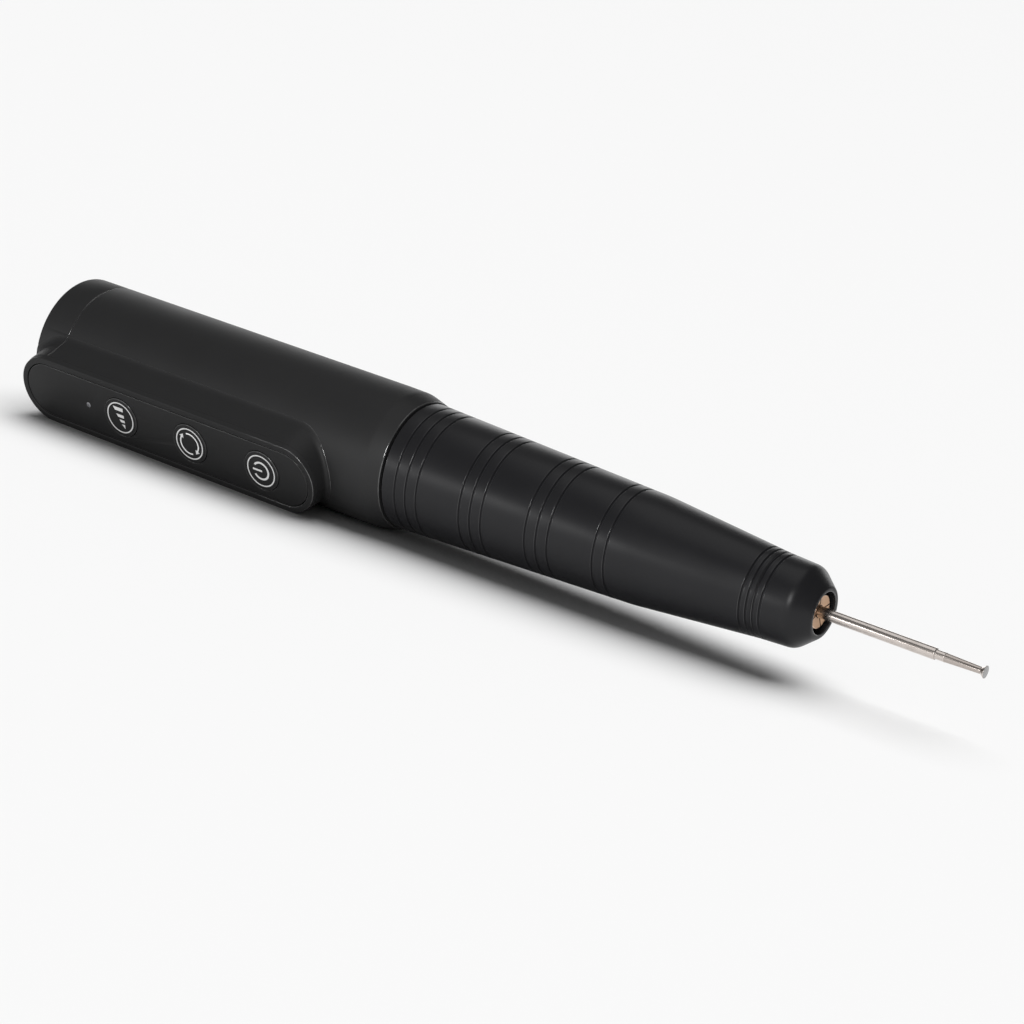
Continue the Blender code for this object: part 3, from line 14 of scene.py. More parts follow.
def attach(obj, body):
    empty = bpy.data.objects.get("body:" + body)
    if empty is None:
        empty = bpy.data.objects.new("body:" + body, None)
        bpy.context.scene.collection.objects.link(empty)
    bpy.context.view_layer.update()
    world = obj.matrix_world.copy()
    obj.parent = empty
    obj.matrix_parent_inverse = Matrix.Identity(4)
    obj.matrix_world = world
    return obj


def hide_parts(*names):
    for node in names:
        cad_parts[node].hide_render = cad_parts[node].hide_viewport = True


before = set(bpy.data.objects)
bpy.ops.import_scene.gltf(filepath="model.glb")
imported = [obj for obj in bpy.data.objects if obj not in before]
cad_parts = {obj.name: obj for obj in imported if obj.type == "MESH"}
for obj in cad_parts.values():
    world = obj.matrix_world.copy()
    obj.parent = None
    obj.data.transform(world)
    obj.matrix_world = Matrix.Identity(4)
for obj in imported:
    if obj.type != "MESH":
        bpy.data.objects.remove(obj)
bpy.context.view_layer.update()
solids = [piece for piece in bpy.data.objects if piece.type == "MESH" and piece.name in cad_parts]

# Where the tool lies
AXIS_PLACE = Vector((-0.0174, 0.002892, 0.015))
ROLL = radians(23.972)
TOOL_TURN = Matrix.Translation(AXIS_PLACE) @ Matrix.Rotation(pi / 2 + ROLL, 4, "X")

# Body and rear cap
BODY_RADIUS = 0.0150
BODY_REAR = -0.0962
BODY_FRONT = -0.0005
BODY_WALL = 0.0018
SHOULDER_REAR = -0.0090
CHAMFER_REAR = -0.0043
CHAMFER_RADIUS = 0.0149
FRONT_RADIUS = 0.0139
SHOULDER_ROUNDING = 0.060
CHAMFER_ROUNDING = 0.0045
FRONT_EDGE = 0.00022
NECK_BORE = 0.0123
NECK_REAR = -0.0053
CAP_SEAM = -0.0882
CAP_GAP = 0.00006
CAP_EDGE = 0.0005
SEAM_EDGE = 0.00020
SPIGOT_WALL = 0.0011
SPIGOT_LENGTH = 0.0027
SPIGOT_FIT = 0.00015
SPIGOT_ROOT = 0.0003

# Panel base, called the boss here, and its hollow root
PANEL_MIDDLE = -0.0547
PANEL_HALF_LENGTH = 0.0414
PANEL_HALF_WIDTH = 0.0080
PANEL_TOP = 0.0194
FLANK_DRAFT = radians(8.5)
BOSS_TOP = 0.01815
BOSS_BOTTOM = 0.0090
ROOT_FLANK = 0.0024
ROOT_FRONT = 0.0009
ROOT_REAR = 0.0024
ROOT_ROOM = 0.00015
ROOT_LEAST = 0.00004
RIDGE_HEIGHT = 0.00006
RIDGE_ROUND = 0.00009
POCKET_FLOOR = 0.0144
POCKET_INSET = 0.0024

# Rim, plate, keys and light
RIM_BASE = 0.0182
RIM_WIDTH = 0.0015
RIM_INSET = 0.00015
RIM_TOP = 0.01936
RIM_EDGE = 0.00015
RIM_INNER_EDGE = 0.00012
PLATE_INSET = 0.00172
PLATE_TOP = 0.01928
PLATE_EDGE = 0.00010
KEY_RADIUS = 0.00466
KEY_HOLE_RADIUS = 0.00475
KEY_TOP = 0.01948
KEY_EDGE = 0.00022
KEY_FLANGE_RADIUS = 0.0053
KEY_FLANGE_TOP = 0.0179
KEY_FLANGE_BASE = 0.0174
SPEED_PLACE = -0.0669
DIRECTION_PLACE = -0.0471
POWER_PLACE = -0.0273
LIGHT_PLACE = -0.0765
LIGHT_RADIUS = 0.0006
LIGHT_BASE = 0.0160
LIGHT_DOME = 0.00012
LIGHT_GAP = 0.00006
LIGHT_HOLE_EDGE = 0.00005
PRINT_THICKNESS = 0.00002

# Printed signs, measured on the key from its middle. A speed bar is given by its left and right end,
# its middle across the key and its thickness, and its left end leans.
RING_RADIUS = 0.0036
RING_STROKE = 0.00028
SPEED_BARS = (
    (-0.00185, 0.00095, 0.00208, 0.00086),
    (-0.00105, 0.00106, 0.00044, 0.00070),
    (-0.00032, 0.00112, -0.00076, 0.00058),
)
SPEED_POINT = ((0.00026, -0.00160), (0.00113, -0.00245), (0.00113, -0.00152))
BAR_LEAN = 0.6
TURN_RADIUS = RING_RADIUS * 0.68
TURN_STROKE = 0.00032
TURN_ARCS = (("left_arc", 150.0, 287.0), ("right_arc", -30.0, 107.0))
ARROW_LENGTH = 0.0010
ARROW_SPREAD = 0.6
POWER_RADIUS = RING_RADIUS * 0.55
POWER_STROKE = 0.00045
POWER_OPENING = 145.0
POWER_STEM = ((-0.0022, 0.00022), (-0.0022, -0.00022), (0.0003, -0.00022), (0.0003, 0.00022))

# Charge socket
SOCKET_MIDDLE = 0.0128
SOCKET_WIDTH = 0.0089
SOCKET_HEIGHT = 0.0032
SOCKET_REAR = -0.0960
SOCKET_LENGTH = 0.00735
SOCKET_SHELL = 0.0003
SOCKET_GAP = 0.0003
SOCKET_EDGE = 0.00006
SOCKET_FLARE = 0.00035
BAY_HEADROOM = 0.00045
TONGUE_DEPTH = 0.0010
TONGUE_ROOM = 1.5
TONGUE_HALF_WIDTH = 0.0030
TONGUE_HALF_HEIGHT = 0.00035
TONGUE_EDGE = 0.00015

# Grip
GRIP_LENGTH = 0.0967
GRIP_REAR_RADIUS = 0.0136
WAIST_PLACE = 0.0575
WAIST_RADIUS = 0.01135
NOSE_PLACE = 0.0855
NOSE_RADIUS = 0.0088
NOSE_FRONT_PLACE = 0.0929
NOSE_FRONT_RADIUS = 0.0084
NOSE_RIM_RADIUS = 0.0052
NOSE_ROUNDING = 0.0030
NOSE_RIM_ROUNDING = 0.0009
GRIP_REAR_EDGE = 0.00018
WAIST_ROUNDING = 0.050
NOSE_START_ROUNDING = 0.0003
MOUTH_EDGE = 0.00025
MOUTH_RADIUS = 0.0043
MOUTH_LENGTH = 0.0052
GRIP_BORE = 0.0102
GRIP_NOSE_BORE = 0.0075
GRIP_STEP = 0.0500
GROOVE_DEPTH = 0.00030
GROOVE_WIDTH = 0.00060
GROOVE_LIP_ROUNDING = 0.00008
GROOVE_FOOT_ROUNDING = 0.00006
GROOVE_FIRST = 0.0032
GROOVE_PITCH = 0.00265
GROOVE_GROUP_PITCH = 0.01585
GROOVE_GROUPS = (3, 3, 3, 2)
NOSE_GROOVE_LAST = 0.0872
NOSE_GROOVE_PITCH = 0.00142
NOSE_GROOVE_COUNT = 4

# Collet and bit
COLLET_REAR = 0.0760
COLLET_FRONT = 0.0959
COLLET_RADIUS = 0.0035
COLLET_BODY_RADIUS = 0.00205
COLLET_CONE_RADIUS = 0.00315
COLLET_HEAD = 0.0026
COLLET_CONE = 0.0028
COLLET_SEAT = 0.0003
COLLET_BORE = 0.001275
COLLET_SLOT_WIDTH = 0.0003
COLLET_DISH = 0.0003
COLLET_SLOT_LENGTH = 0.0140
COLLET_BORE_EDGE = 0.00010
COLLET_FACE_EDGE = 0.00022
COLLET_REAR_EDGE = 0.0001
BIT_REAR = 0.0865
SHANK_FRONT = 0.1207
SHANK_RADIUS = 0.001175
STEP_RADIUS = 0.00094
NECK_PLACE = 0.1227
NECK_REAR_RADIUS = 0.00091
NECK_FRONT_RADIUS = 0.00070
HEAD_PLACE = 0.1301
HEAD_RADIUS = 0.00135
TIP_PLACE = 0.1310
BIT_REAR_EDGE = 0.00020
SHANK_EDGE = 0.00012
STEP_ROOT = 0.00008
STEP_EDGE = 0.00010
FINE_EDGE = 0.00006
HEAD_FLARE = 0.0004

# Fineness
BODY_STEPS = 256
GRIP_STEPS = 192
SMALL_STEPS = 96
ROUND_STEPS = 6
OUTLINE_ARC_STEPS = 48
OUTLINE_SIDE_STEPS = 48
ROOT_STEPS = 10
RIDGE_STEPS = 4
SEARCH_STEPS = 40
SEAM_STEPS = 4
SOCKET_STEPS = 16
PLATE_EDGE_STEPS = 3
LENS_STEPS = 48
RING_STEPS = 96
ARC_STEPS = 64
MERGE_DISTANCE = 0.0000002
CUT_REACH = MERGE_DISTANCE * 5
ANGLE_DIGITS = 5
LEAST_SHARE = 0.001
OVERRUN = 0.0010
SMOOTH_ANGLE = radians(34.0)

# Finishes: rounded edges are a little glossier and lighter, the lighter colour partly scuffing and partly a
# painted highlight;
# the panel rim's edge gets both only in front of the first place below, and fully from the second on
CLOUD_SCALE = 90.0
LATHE_CLOUD_SCALE = 140.0
LATHE_SQUEEZE = 0.02
WEAR_AND_HIGHLIGHT_SCALE = 260.0
WEAR_AND_HIGHLIGHT_NOISE_LOW = 0.30
WEAR_AND_HIGHLIGHT_NOISE_HIGH = 0.55
WEAR_AND_HIGHLIGHT_LEAST = 0.45
ROUGHNESS_DRIFT = 0.05
WEAR_AND_HIGHLIGHT_GAIN = 1.3
WEAR_AND_HIGHLIGHT_LIFT = 0.004
EDGE_FACE_WIDTH = 0.00012
EDGE_BEND = radians(5.0)
EDGE_ROUGHNESS = 0.24
COAT_ROUGHNESS = 0.12
COAT_IOR = 2.1
PLASTIC_GLOSS = 0.25
METAL_GLOSS = 0.5
FACING = 0.98
RIM_HIGHLIGHT_START = -0.0315
RIM_HIGHLIGHT_FULL = -0.0205

# Floor, light and camera
FLOOR_SIZE = 60.0
FLOOR_SHADE = 0.86
FLOOR_ROUGHNESS = 0.9
FLOOR_GLOSS = 0.1
SKY_LIGHT = 0.15
SKY_SEEN = 0.94
WASH_ENERGY = 3.12
WASH_ANGLE = radians(70.0)
WASH_TILT = radians(-15.0)
SOFT_BOXES = (
    ("backdrop", (-0.7, 1.2, 0.35), (2.4, 0.6), 1.6),
    ("front", (-0.5, -0.86, 0.055), (0.6, 0.10), 8.3),
    ("beside_camera", (0.24, -0.90, 0.33), (0.30, 0.30), 15.0),
    ("overhead", (-0.10, -0.05, 0.95), (0.9, 0.7), 0.8),
)
CAMERA_SENSOR = 36.0
CAMERA_LENS = 98.4375
CAMERA_NEAR = 0.01
CAMERA_FAR = 100.0
CAMERA_PLACE = (0.29455, -0.47224, 0.14460)
CAMERA_TURN = (radians(76.334), radians(-11.838), radians(34.092))


def clear_selection():
    if bpy.context.object and bpy.context.object.mode != "OBJECT":
        bpy.ops.object.mode_set(mode="OBJECT")
    bpy.ops.object.select_all(action="DESELECT")


def only(piece):
    """Makes one piece the only selected and active one."""
    clear_selection()
    piece.select_set(True)
    bpy.context.view_layer.objects.active = piece


def name_new(name):
    piece = bpy.context.object
    piece.name = name
    piece.data.name = name
    return piece


def move_ring(piece, places, old_places):
    """Moves the selected ring's points, which lie on the old places, to the new ones."""
    finder = kdtree.KDTree(len(old_places))
    for index, place in enumerate(old_places):
        finder.insert(place, index)
    finder.balance()
    mesh = bmesh.from_edit_mesh(piece.data)
    for vertex in mesh.verts:
        if vertex.select:
            vertex.co = places[finder.find(vertex.co)[1]]
    bmesh.update_edit_mesh(piece.data)


def lofted(name, rings, looped=False):
    """Draws the first ring, extrudes it from ring to ring, and closes both ends or the loop."""
    clear_selection()
    bpy.ops.mesh.primitive_circle_add(vertices=len(rings[0]), radius=BODY_RADIUS)
    piece = name_new(name)
    start = [vertex.co.copy() for vertex in piece.data.vertices]
    bpy.ops.object.mode_set(mode="EDIT")
    bpy.ops.mesh.select_all(action="SELECT")
    move_ring(piece, rings[0], start)
    for before, after in zip(rings, rings[1:]):
        bpy.ops.mesh.extrude_region_move()
        move_ring(piece, after, before)
    bpy.ops.mesh.select_all(action="SELECT")
    if looped:
        bpy.ops.mesh.remove_doubles(threshold=MERGE_DISTANCE)
    else:
        bpy.ops.mesh.fill_holes(sides=0)
    bpy.ops.mesh.select_all(action="SELECT")
    bpy.ops.mesh.normals_make_consistent(inside=False)
    bpy.ops.object.mode_set(mode="OBJECT")
    return piece


def turned(name, section, steps=SMALL_STEPS, closed=False):
    """Draws a section of (along, radius) points and spins it round the tool's axis."""
    clear_selection()
    along, radius = section[0]
    bpy.ops.mesh.primitive_plane_add(size=MERGE_DISTANCE)
    piece = name_new(name)
    bpy.ops.object.mode_set(mode="EDIT")
    bpy.ops.mesh.select_all(action="SELECT")
    bpy.ops.mesh.merge(type="CENTER")
    bpy.ops.transform.translate(value=(along, 0.0, radius))
    points = list(section) + [section[0]] * closed
    for before, after in zip(points, points[1:]):
        step = (after[0] - before[0], 0.0, after[1] - before[1])
        bpy.ops.mesh.extrude_region_move(TRANSFORM_OT_translate={"value": step})
    bpy.ops.mesh.select_all(action="SELECT")
    bpy.ops.mesh.remove_doubles(threshold=MERGE_DISTANCE)
    bpy.ops.mesh.spin(steps=steps, angle=2 * pi, center=(0.0, 0.0, 0.0), axis=(1.0, 0.0, 0.0))
    bpy.ops.mesh.select_all(action="SELECT")
    bpy.ops.mesh.remove_doubles(threshold=MERGE_DISTANCE)
    bpy.ops.mesh.normals_make_consistent(inside=False)
    bpy.ops.object.mode_set(mode="OBJECT")
    return piece


def rounded(corners, closed=False):
    """Turns corners, given as (along, radius, rounding), into points with a small arc at each."""
    points = []
    count = len(corners)
    for index, (along, radius, rounding) in enumerate(corners):
        here = Vector((along, radius))
        at_end = index in (0, count - 1) and not closed
        if rounding == 0.0 or at_end:
            points.append((along, radius))
            continue
        back = (Vector(corners[index - 1][:2]) - here).normalized()
        ahead = (Vector(corners[(index + 1) % count][:2]) - here).normalized()
        half = back.angle(ahead) / 2
        centre = here + (back + ahead).normalized() * rounding / sin(half)
        first = (here + back * rounding / tan(half) - centre).normalized()
        last = (here + ahead * rounding / tan(half) - centre).normalized()
        for step in range(ROUND_STEPS + 1):
            point = centre + first.slerp(last, step / ROUND_STEPS) * rounding
            points.append((point.x, point.y))
    return points


def boolean(piece, tool, operation):
    """Joins or cuts a piece with another one, which is then thrown away."""
    only(piece)
    modifier = piece.modifiers.new(operation.lower(), "BOOLEAN")
    modifier.operation = operation
    modifier.solver = "EXACT"
    modifier.object = tool
    bpy.ops.object.modifier_apply(modifier=modifier.name)
    bpy.data.objects.remove(tool, do_unlink=True)
    return piece


def cut(piece, *tools):
    for tool in tools:
        boolean(piece, tool, "DIFFERENCE")
    return piece


def join(piece, *others):
    for other in others:
        boolean(piece, other, "UNION")
    return piece


def copy_of(piece, name):
    twin = piece.copy()
    twin.data = piece.data.copy()
    twin.name = name
    twin.data.name = name
    bpy.context.collection.objects.link(twin)
    return twin


def outline(inset, height, drafted=False):
    """The panel's round-ended outline at a height, drawn in by the inset, from the front end round."""
    half_width = PANEL_HALF_WIDTH - inset
    if drafted:
        half_width += (PANEL_TOP - height) * tan(FLANK_DRAFT)
    reach = PANEL_HALF_LENGTH - inset - half_width
    points = []
    for side in (1, -1):
        for step in range(OUTLINE_ARC_STEPS):
            angle = pi * step / OUTLINE_ARC_STEPS - side * pi / 2
            along = PANEL_MIDDLE + side * reach + half_width * cos(angle)
            points.append(Vector((along, half_width * sin(angle), height)))
        for step in range(OUTLINE_SIDE_STEPS):
            along = PANEL_MIDDLE + side * reach * (1 - 2 * step / OUTLINE_SIDE_STEPS)
            points.append(Vector((along, side * half_width, height)))
    return points


def root_radius(along):
    """How hollow the boss's root is at a place along the tool: more at the front, fading at the rear."""
    front_start = PANEL_MIDDLE + PANEL_HALF_LENGTH - PANEL_HALF_WIDTH
    rear_start = PANEL_MIDDLE - PANEL_HALF_LENGTH + PANEL_HALF_WIDTH
    if along > front_start:
        share = min(1.0, (along - front_start) / PANEL_HALF_WIDTH)
        return ROOT_FLANK + (ROOT_FRONT - ROOT_FLANK) * sin(share * pi / 2) ** 2
    if along < rear_start:
        share = min(1.0, (rear_start - along) / PANEL_HALF_WIDTH)
        room = (PANEL_HALF_WIDTH - ROOT_ROOM) / max(share, LEAST_SHARE) - PANEL_HALF_WIDTH
        wanted = ROOT_FLANK + (ROOT_REAR - ROOT_FLANK) * sin(share * pi) ** 2
        return max(ROOT_LEAST, min(wanted, room))
    return ROOT_FLANK


def root_arc(top, deeper, beside):
    """Rolls a ball down the boss's side onto the body, and gives the arc with its small ridge."""
    down = (deeper - top).normalized()
    outward = down.cross(beside - top).normalized()
    radius = root_radius(top.x)
    target = BODY_RADIUS + RIDGE_HEIGHT + radius
    low, high = 0.0, BOSS_TOP
    for _ in range(SEARCH_STEPS):
        middle = (low + high) / 2
        centre = top + down * middle + outward * radius
        if hypot(centre.y, centre.z) > target:
            low = middle
        else:
            high = middle
    centre = top + down * low + outward * radius
    radial = Vector((0.0, centre.y, centre.z)).normalized()
    arc = []
    for step in range(ROOT_STEPS + 1):
        arc.append(centre + (-outward).slerp(-radial, step / ROOT_STEPS) * radius)
    away = (outward - radial * outward.dot(radial)).normalized()
    rounding = min(RIDGE_ROUND, radius)
    for step in range(1, RIDGE_STEPS + 1):
        angle = pi / 2 * step / RIDGE_STEPS
        drop = radial * (1 - cos(angle)) * RIDGE_ROUND
        arc.append(arc[ROOT_STEPS] + away * sin(angle) * rounding - drop)
    return arc


def make_boss():
    """The panel's base: drafted flanks that run out on the round body in a hollow root."""
    top = outline(0.0, BOSS_TOP, True)
    deeper = outline(0.0, BOSS_BOTTOM, True)
    arcs = []
    for index, place in enumerate(top):
        beside = top[(index + 1) % len(top)]
        arcs.append(root_arc(place, deeper[index], beside))
    rings = [top] + [[arc[step] for arc in arcs] for step in range(ROOT_STEPS + RIDGE_STEPS + 1)]
    sunk = []
    for place in rings[-1]:
        radial = Vector((0.0, place.y, place.z)).normalized()
        sunk.append(place - radial * OVERRUN)
    rings.append(sunk)
    rings.append([Vector((place.x, place.y, BOSS_BOTTOM)) for place in sunk])
    return lofted("boss", rings)


def make_body_form():
    """The outer form of housing and rear cap in one, before the seam parts them."""
    corners = [
        (BODY_REAR, 0.0, 0.0),
        (BODY_REAR, BODY_RADIUS, CAP_EDGE),
        (SHOULDER_REAR, BODY_RADIUS, SHOULDER_ROUNDING),
        (CHAMFER_REAR, CHAMFER_RADIUS, CHAMFER_ROUNDING),
        (BODY_FRONT, FRONT_RADIUS, FRONT_EDGE),
        (BODY_FRONT, 0.0, 0.0),
    ]
    form = turned("body_form", rounded(corners), BODY_STEPS)
    return join(form, make_boss())


def on_cut(vertex, place):
    return abs(vertex.co.x - place) < CUT_REACH


def merge_seam(piece, place):
    """Merges the points of a cut that lie too close for its rounding, in their order round the axis."""
    mesh = bmesh.from_edit_mesh(piece.data)
    seam = [vertex for vertex in mesh.verts if on_cut(vertex, place)]
    seam.sort(key=lambda vertex: (round(atan2(vertex.co.z, vertex.co.y), ANGLE_DIGITS), vertex.co.length))
    targets = {}
    kept = seam[0]
    for vertex in seam[1:]:
        if (vertex.co - kept.co).length < SEAM_EDGE / 2:
            targets[vertex] = kept
        else:
            kept = vertex
    bmesh.ops.weld_verts(mesh, targetmap=targets)
    bmesh.update_edit_mesh(piece.data)


def split_at(piece, place, keep_front):
    """Cuts a piece across, closes the cut and softens its edge."""
    only(piece)
    bpy.ops.object.mode_set(mode="EDIT")
    bpy.ops.mesh.select_all(action="SELECT")
    bpy.ops.mesh.bisect(
        plane_co=(place, 0.0, 0.0), plane_no=(1.0, 0.0, 0.0), use_fill=True,
        clear_inner=keep_front, clear_outer=not keep_front, threshold=MERGE_DISTANCE,
    )
    merge_seam(piece, place)
    bpy.ops.mesh.select_mode(type="EDGE")
    mesh = bmesh.from_edit_mesh(piece.data)
    for edge in mesh.edges:
        edge.select = all(on_cut(vertex, place) for vertex in edge.verts)
    bmesh.update_edit_mesh(piece.data)
    bpy.ops.mesh.bevel(offset=SEAM_EDGE, segments=SEAM_STEPS, affect="EDGES", clamp_overlap=True)
    bpy.ops.mesh.select_mode(type="VERT")
    bpy.ops.object.mode_set(mode="OBJECT")
    return piece


def pocket():
    rings = [outline(POCKET_INSET, height) for height in (POCKET_FLOOR, BOSS_TOP + OVERRUN)]
    return lofted("pocket", rings)


def make_housing(form):
    housing = split_at(copy_of(form, "housing_shell"), CAP_SEAM + CAP_GAP / 2, True)
    core = [
        (BODY_REAR, 0.0),
        (BODY_REAR, BODY_RADIUS - BODY_WALL),
        (NECK_REAR, BODY_RADIUS - BODY_WALL),
        (NECK_REAR, NECK_BORE),
        (OVERRUN, NECK_BORE),
        (OVERRUN, 0.0),
    ]
    return cut(housing, turned("body_core", core, BODY_STEPS), pocket())


def make_cap(form):
    cap = split_at(copy_of(form, "cap_shell"), CAP_SEAM - CAP_GAP / 2, False)
    core = [
        (BODY_REAR + BODY_WALL, 0.0),
        (BODY_REAR + BODY_WALL, BODY_RADIUS - BODY_WALL),
        (0.0, BODY_RADIUS - BODY_WALL),
        (0.0, 0.0),
    ]
    cut(cap, turned("cap_core", core, BODY_STEPS), pocket(), socket_bay(), socket_mouth())
    outer = BODY_RADIUS - BODY_WALL - SPIGOT_FIT
    spigot = [
        (CAP_SEAM + SPIGOT_LENGTH, outer - SPIGOT_WALL),
        (CAP_SEAM + SPIGOT_LENGTH, outer),
        (CAP_SEAM - SPIGOT_ROOT, outer),
        (CAP_SEAM - SPIGOT_ROOT, BODY_RADIUS - BODY_WALL + SPIGOT_ROOT),
        (CAP_SEAM - BODY_WALL, BODY_RADIUS - BODY_WALL + SPIGOT_ROOT),
        (CAP_SEAM - BODY_WALL, outer - SPIGOT_WALL),
    ]
    collar = turned("spigot", spigot, BODY_STEPS, closed=True)
    cut(collar, pocket(), socket_bay())
    return join(cap, collar)


def slot_ring(along, grow):
    """The charge socket's round-ended section at a place along the tool, grown on all sides."""
    radius = SOCKET_HEIGHT / 2 + grow
    reach = (SOCKET_WIDTH - SOCKET_HEIGHT) / 2
    points = []
    for side in (1, -1):
        for step in range(SOCKET_STEPS + 1):
            angle = pi * step / SOCKET_STEPS - side * pi / 2
            across = side * reach + radius * cos(angle)
            points.append(Vector((along, across, SOCKET_MIDDLE + radius * sin(angle))))
    return points


def socket_mouth():
    """The cutter for the charge opening, flared a little at the rear face."""
    rings = [
        slot_ring(BODY_REAR - OVERRUN, SOCKET_GAP + SOCKET_FLARE + OVERRUN),
        slot_ring(BODY_REAR + SOCKET_FLARE, SOCKET_GAP),
        slot_ring(BODY_REAR + BODY_WALL + OVERRUN, SOCKET_GAP),
    ]
    return lofted("socket_mouth", rings)


def socket_bay():
    half_width = SOCKET_WIDTH / 2 + 2 * SOCKET_GAP
    low = SOCKET_MIDDLE - SOCKET_HEIGHT / 2 - 2 * SOCKET_GAP
    high = POCKET_FLOOR + BAY_HEADROOM
    ring = [(-half_width, low), (half_width, low), (half_width, high), (-half_width, high)]
    places = (BODY_REAR + BODY_WALL + SOCKET_GAP, CAP_SEAM + 2 * SPIGOT_LENGTH)
    return lofted("socket_bay", [[Vector((place, y, z)) for y, z in ring] for place in places])


def make_socket():
    """The charge socket's rolled steel shell, closed at its front end."""
    front = SOCKET_REAR + SOCKET_LENGTH
    rings = [
        slot_ring(front, 0.0),
        slot_ring(SOCKET_REAR + SOCKET_EDGE, 0.0),
        slot_ring(SOCKET_REAR, -SOCKET_EDGE),
        slot_ring(SOCKET_REAR, -SOCKET_SHELL + SOCKET_EDGE),
        slot_ring(SOCKET_REAR + SOCKET_EDGE, -SOCKET_SHELL),
        slot_ring(front - SOCKET_SHELL, -SOCKET_SHELL),
    ]
    return lofted("socket_shell", rings)


def make_tongue():
    """The contact tongue in the charge socket."""
    rear = SOCKET_REAR + TONGUE_DEPTH
    front = SOCKET_REAR + SOCKET_LENGTH - SOCKET_SHELL * TONGUE_ROOM
    rings = []
    for along, narrow in ((rear, TONGUE_EDGE), (rear + TONGUE_EDGE, 0.0), (front, 0.0)):
        y, z = TONGUE_HALF_WIDTH - narrow, TONGUE_HALF_HEIGHT - narrow
        corners = [(-y, -z), (y, -z), (y, z), (-y, z)]
        rings.append([Vector((along, across, SOCKET_MIDDLE + height)) for across, height in corners])
    return lofted("socket_tongue", rings)


def make_rim():
    """The rim round the plate, with a crisp outer edge."""
    rings = [outline(0.0, RIM_BASE, True), outline(RIM_INSET, RIM_TOP - RIM_EDGE)]
    for step in range(1, ROUND_STEPS + 1):
        angle = pi / 2 * step / ROUND_STEPS
        inset = RIM_INSET + RIM_EDGE * (1 - cos(angle))
        rings.append(outline(inset, RIM_TOP - RIM_EDGE * (1 - sin(angle))))
    for step in range(ROUND_STEPS // 2 + 1):
        angle = pi / 2 * step / (ROUND_STEPS // 2)
        inset = RIM_WIDTH - RIM_INNER_EDGE * (1 - sin(angle))
        rings.append(outline(inset, RIM_TOP - RIM_INNER_EDGE * (1 - cos(angle))))
    rings.append(outline(RIM_WIDTH, RIM_BASE))
    rings.append(rings[0])
    return lofted("panel_rim", rings, looped=True)


def upright(name, place, section, steps=SMALL_STEPS):
    """Turns a section of (height, radius) points about the panel's normal, at a place along the tool."""
    piece = turned(name, section, steps)
    turn = Matrix.Translation((place, 0.0, 0.0)) @ Matrix.Rotation(-pi / 2, 4, "Y")
    piece.data.transform(turn)
    return piece


def make_plate():
    rings = [outline(PLATE_INSET, RIM_BASE), outline(PLATE_INSET, PLATE_TOP - PLATE_EDGE)]
    for step in range(1, PLATE_EDGE_STEPS + 1):
        angle = pi / 2 * step / PLATE_EDGE_STEPS
        inset = PLATE_INSET + PLATE_EDGE * (1 - cos(angle))
        rings.append(outline(inset, PLATE_TOP - PLATE_EDGE * (1 - sin(angle))))
    plate = lofted("panel_face", rings)
    holes = []
    for place in (SPEED_PLACE, DIRECTION_PLACE, POWER_PLACE):
        holes.append(key_hole(place, KEY_HOLE_RADIUS, PLATE_EDGE))
    holes.append(key_hole(LIGHT_PLACE, LIGHT_RADIUS + LIGHT_GAP, LIGHT_HOLE_EDGE))
    return cut(plate, *holes)


def key_hole(place, radius, edge):
    """A cutter for a round hole in the plate, flared at the top so that the hole's edge is soft."""
    section = [(RIM_BASE - OVERRUN, 0.0), (RIM_BASE - OVERRUN, radius)]
    for step in range(ROUND_STEPS + 1):
        angle = pi / 2 * step / ROUND_STEPS
        section.append((PLATE_TOP - edge * (1 - sin(angle)), radius + edge * (1 - cos(angle))))
    section += [(PLATE_TOP + OVERRUN, radius + edge), (PLATE_TOP + OVERRUN, 0.0)]
    return upright("key_hole", place, section)


def make_key(name, place):
    corners = [
        (KEY_TOP, 0.0, 0.0),
        (KEY_TOP, KEY_RADIUS, KEY_EDGE),
        (KEY_FLANGE_TOP, KEY_RADIUS, 0.0),
        (KEY_FLANGE_TOP, KEY_FLANGE_RADIUS, 0.0),
        (KEY_FLANGE_BASE, KEY_FLANGE_RADIUS, 0.0),
        (KEY_FLANGE_BASE, 0.0, 0.0),
    ]
    return upright(name, place, rounded(corners))


def make_lens():
    section = [(LIGHT_BASE, 0.0), (LIGHT_BASE, LIGHT_RADIUS)]
    for step in range(ROUND_STEPS + 1):
        angle = pi / 2 * step / ROUND_STEPS
        section.append((PLATE_TOP - LIGHT_DOME * (1 - sin(angle)), LIGHT_RADIUS * cos(angle)))
    return upright("light_lens", LIGHT_PLACE, section, LENS_STEPS)


def flat_shape(name, place, points):
    """A thin printed shape with the given outline."""
    low = [Vector((place + x, y, KEY_TOP - PRINT_THICKNESS)) for x, y in points]
    high = [Vector((place + x, y, KEY_TOP + PRINT_THICKNESS)) for x, y in points]
    return lofted(name, [low, high])


def band(name, place, radius, stroke, start, end, steps=ARC_STEPS):
    """A printed arc between two angles in degrees, or a ring if they are a full turn apart."""
    whole = end - start >= 360.0
    sections = []
    for step in range(steps + (0 if whole else 1)):
        angle = radians(start + (end - start) * step / steps)
        ring = []
        for side, height in ((-1, -1), (1, -1), (1, 1), (-1, 1)):
            distance = radius + side * stroke / 2
            along, across = distance * cos(angle), distance * sin(angle)
            ring.append(Vector((place + along, across, KEY_TOP + height * PRINT_THICKNESS)))
        sections.append(ring)
    if whole:
        sections.append(sections[0])
    return lofted(name, sections, looped=whole)


def merge_pieces(name, pieces):
    clear_selection()
    for piece in pieces:
        piece.select_set(True)
    bpy.context.view_layer.objects.active = pieces[0]
    bpy.ops.object.join()
    return name_new(name)


def sign_ring(place):
    return band("ring", place, RING_RADIUS, RING_STROKE, 0.0, 360.0, RING_STEPS)


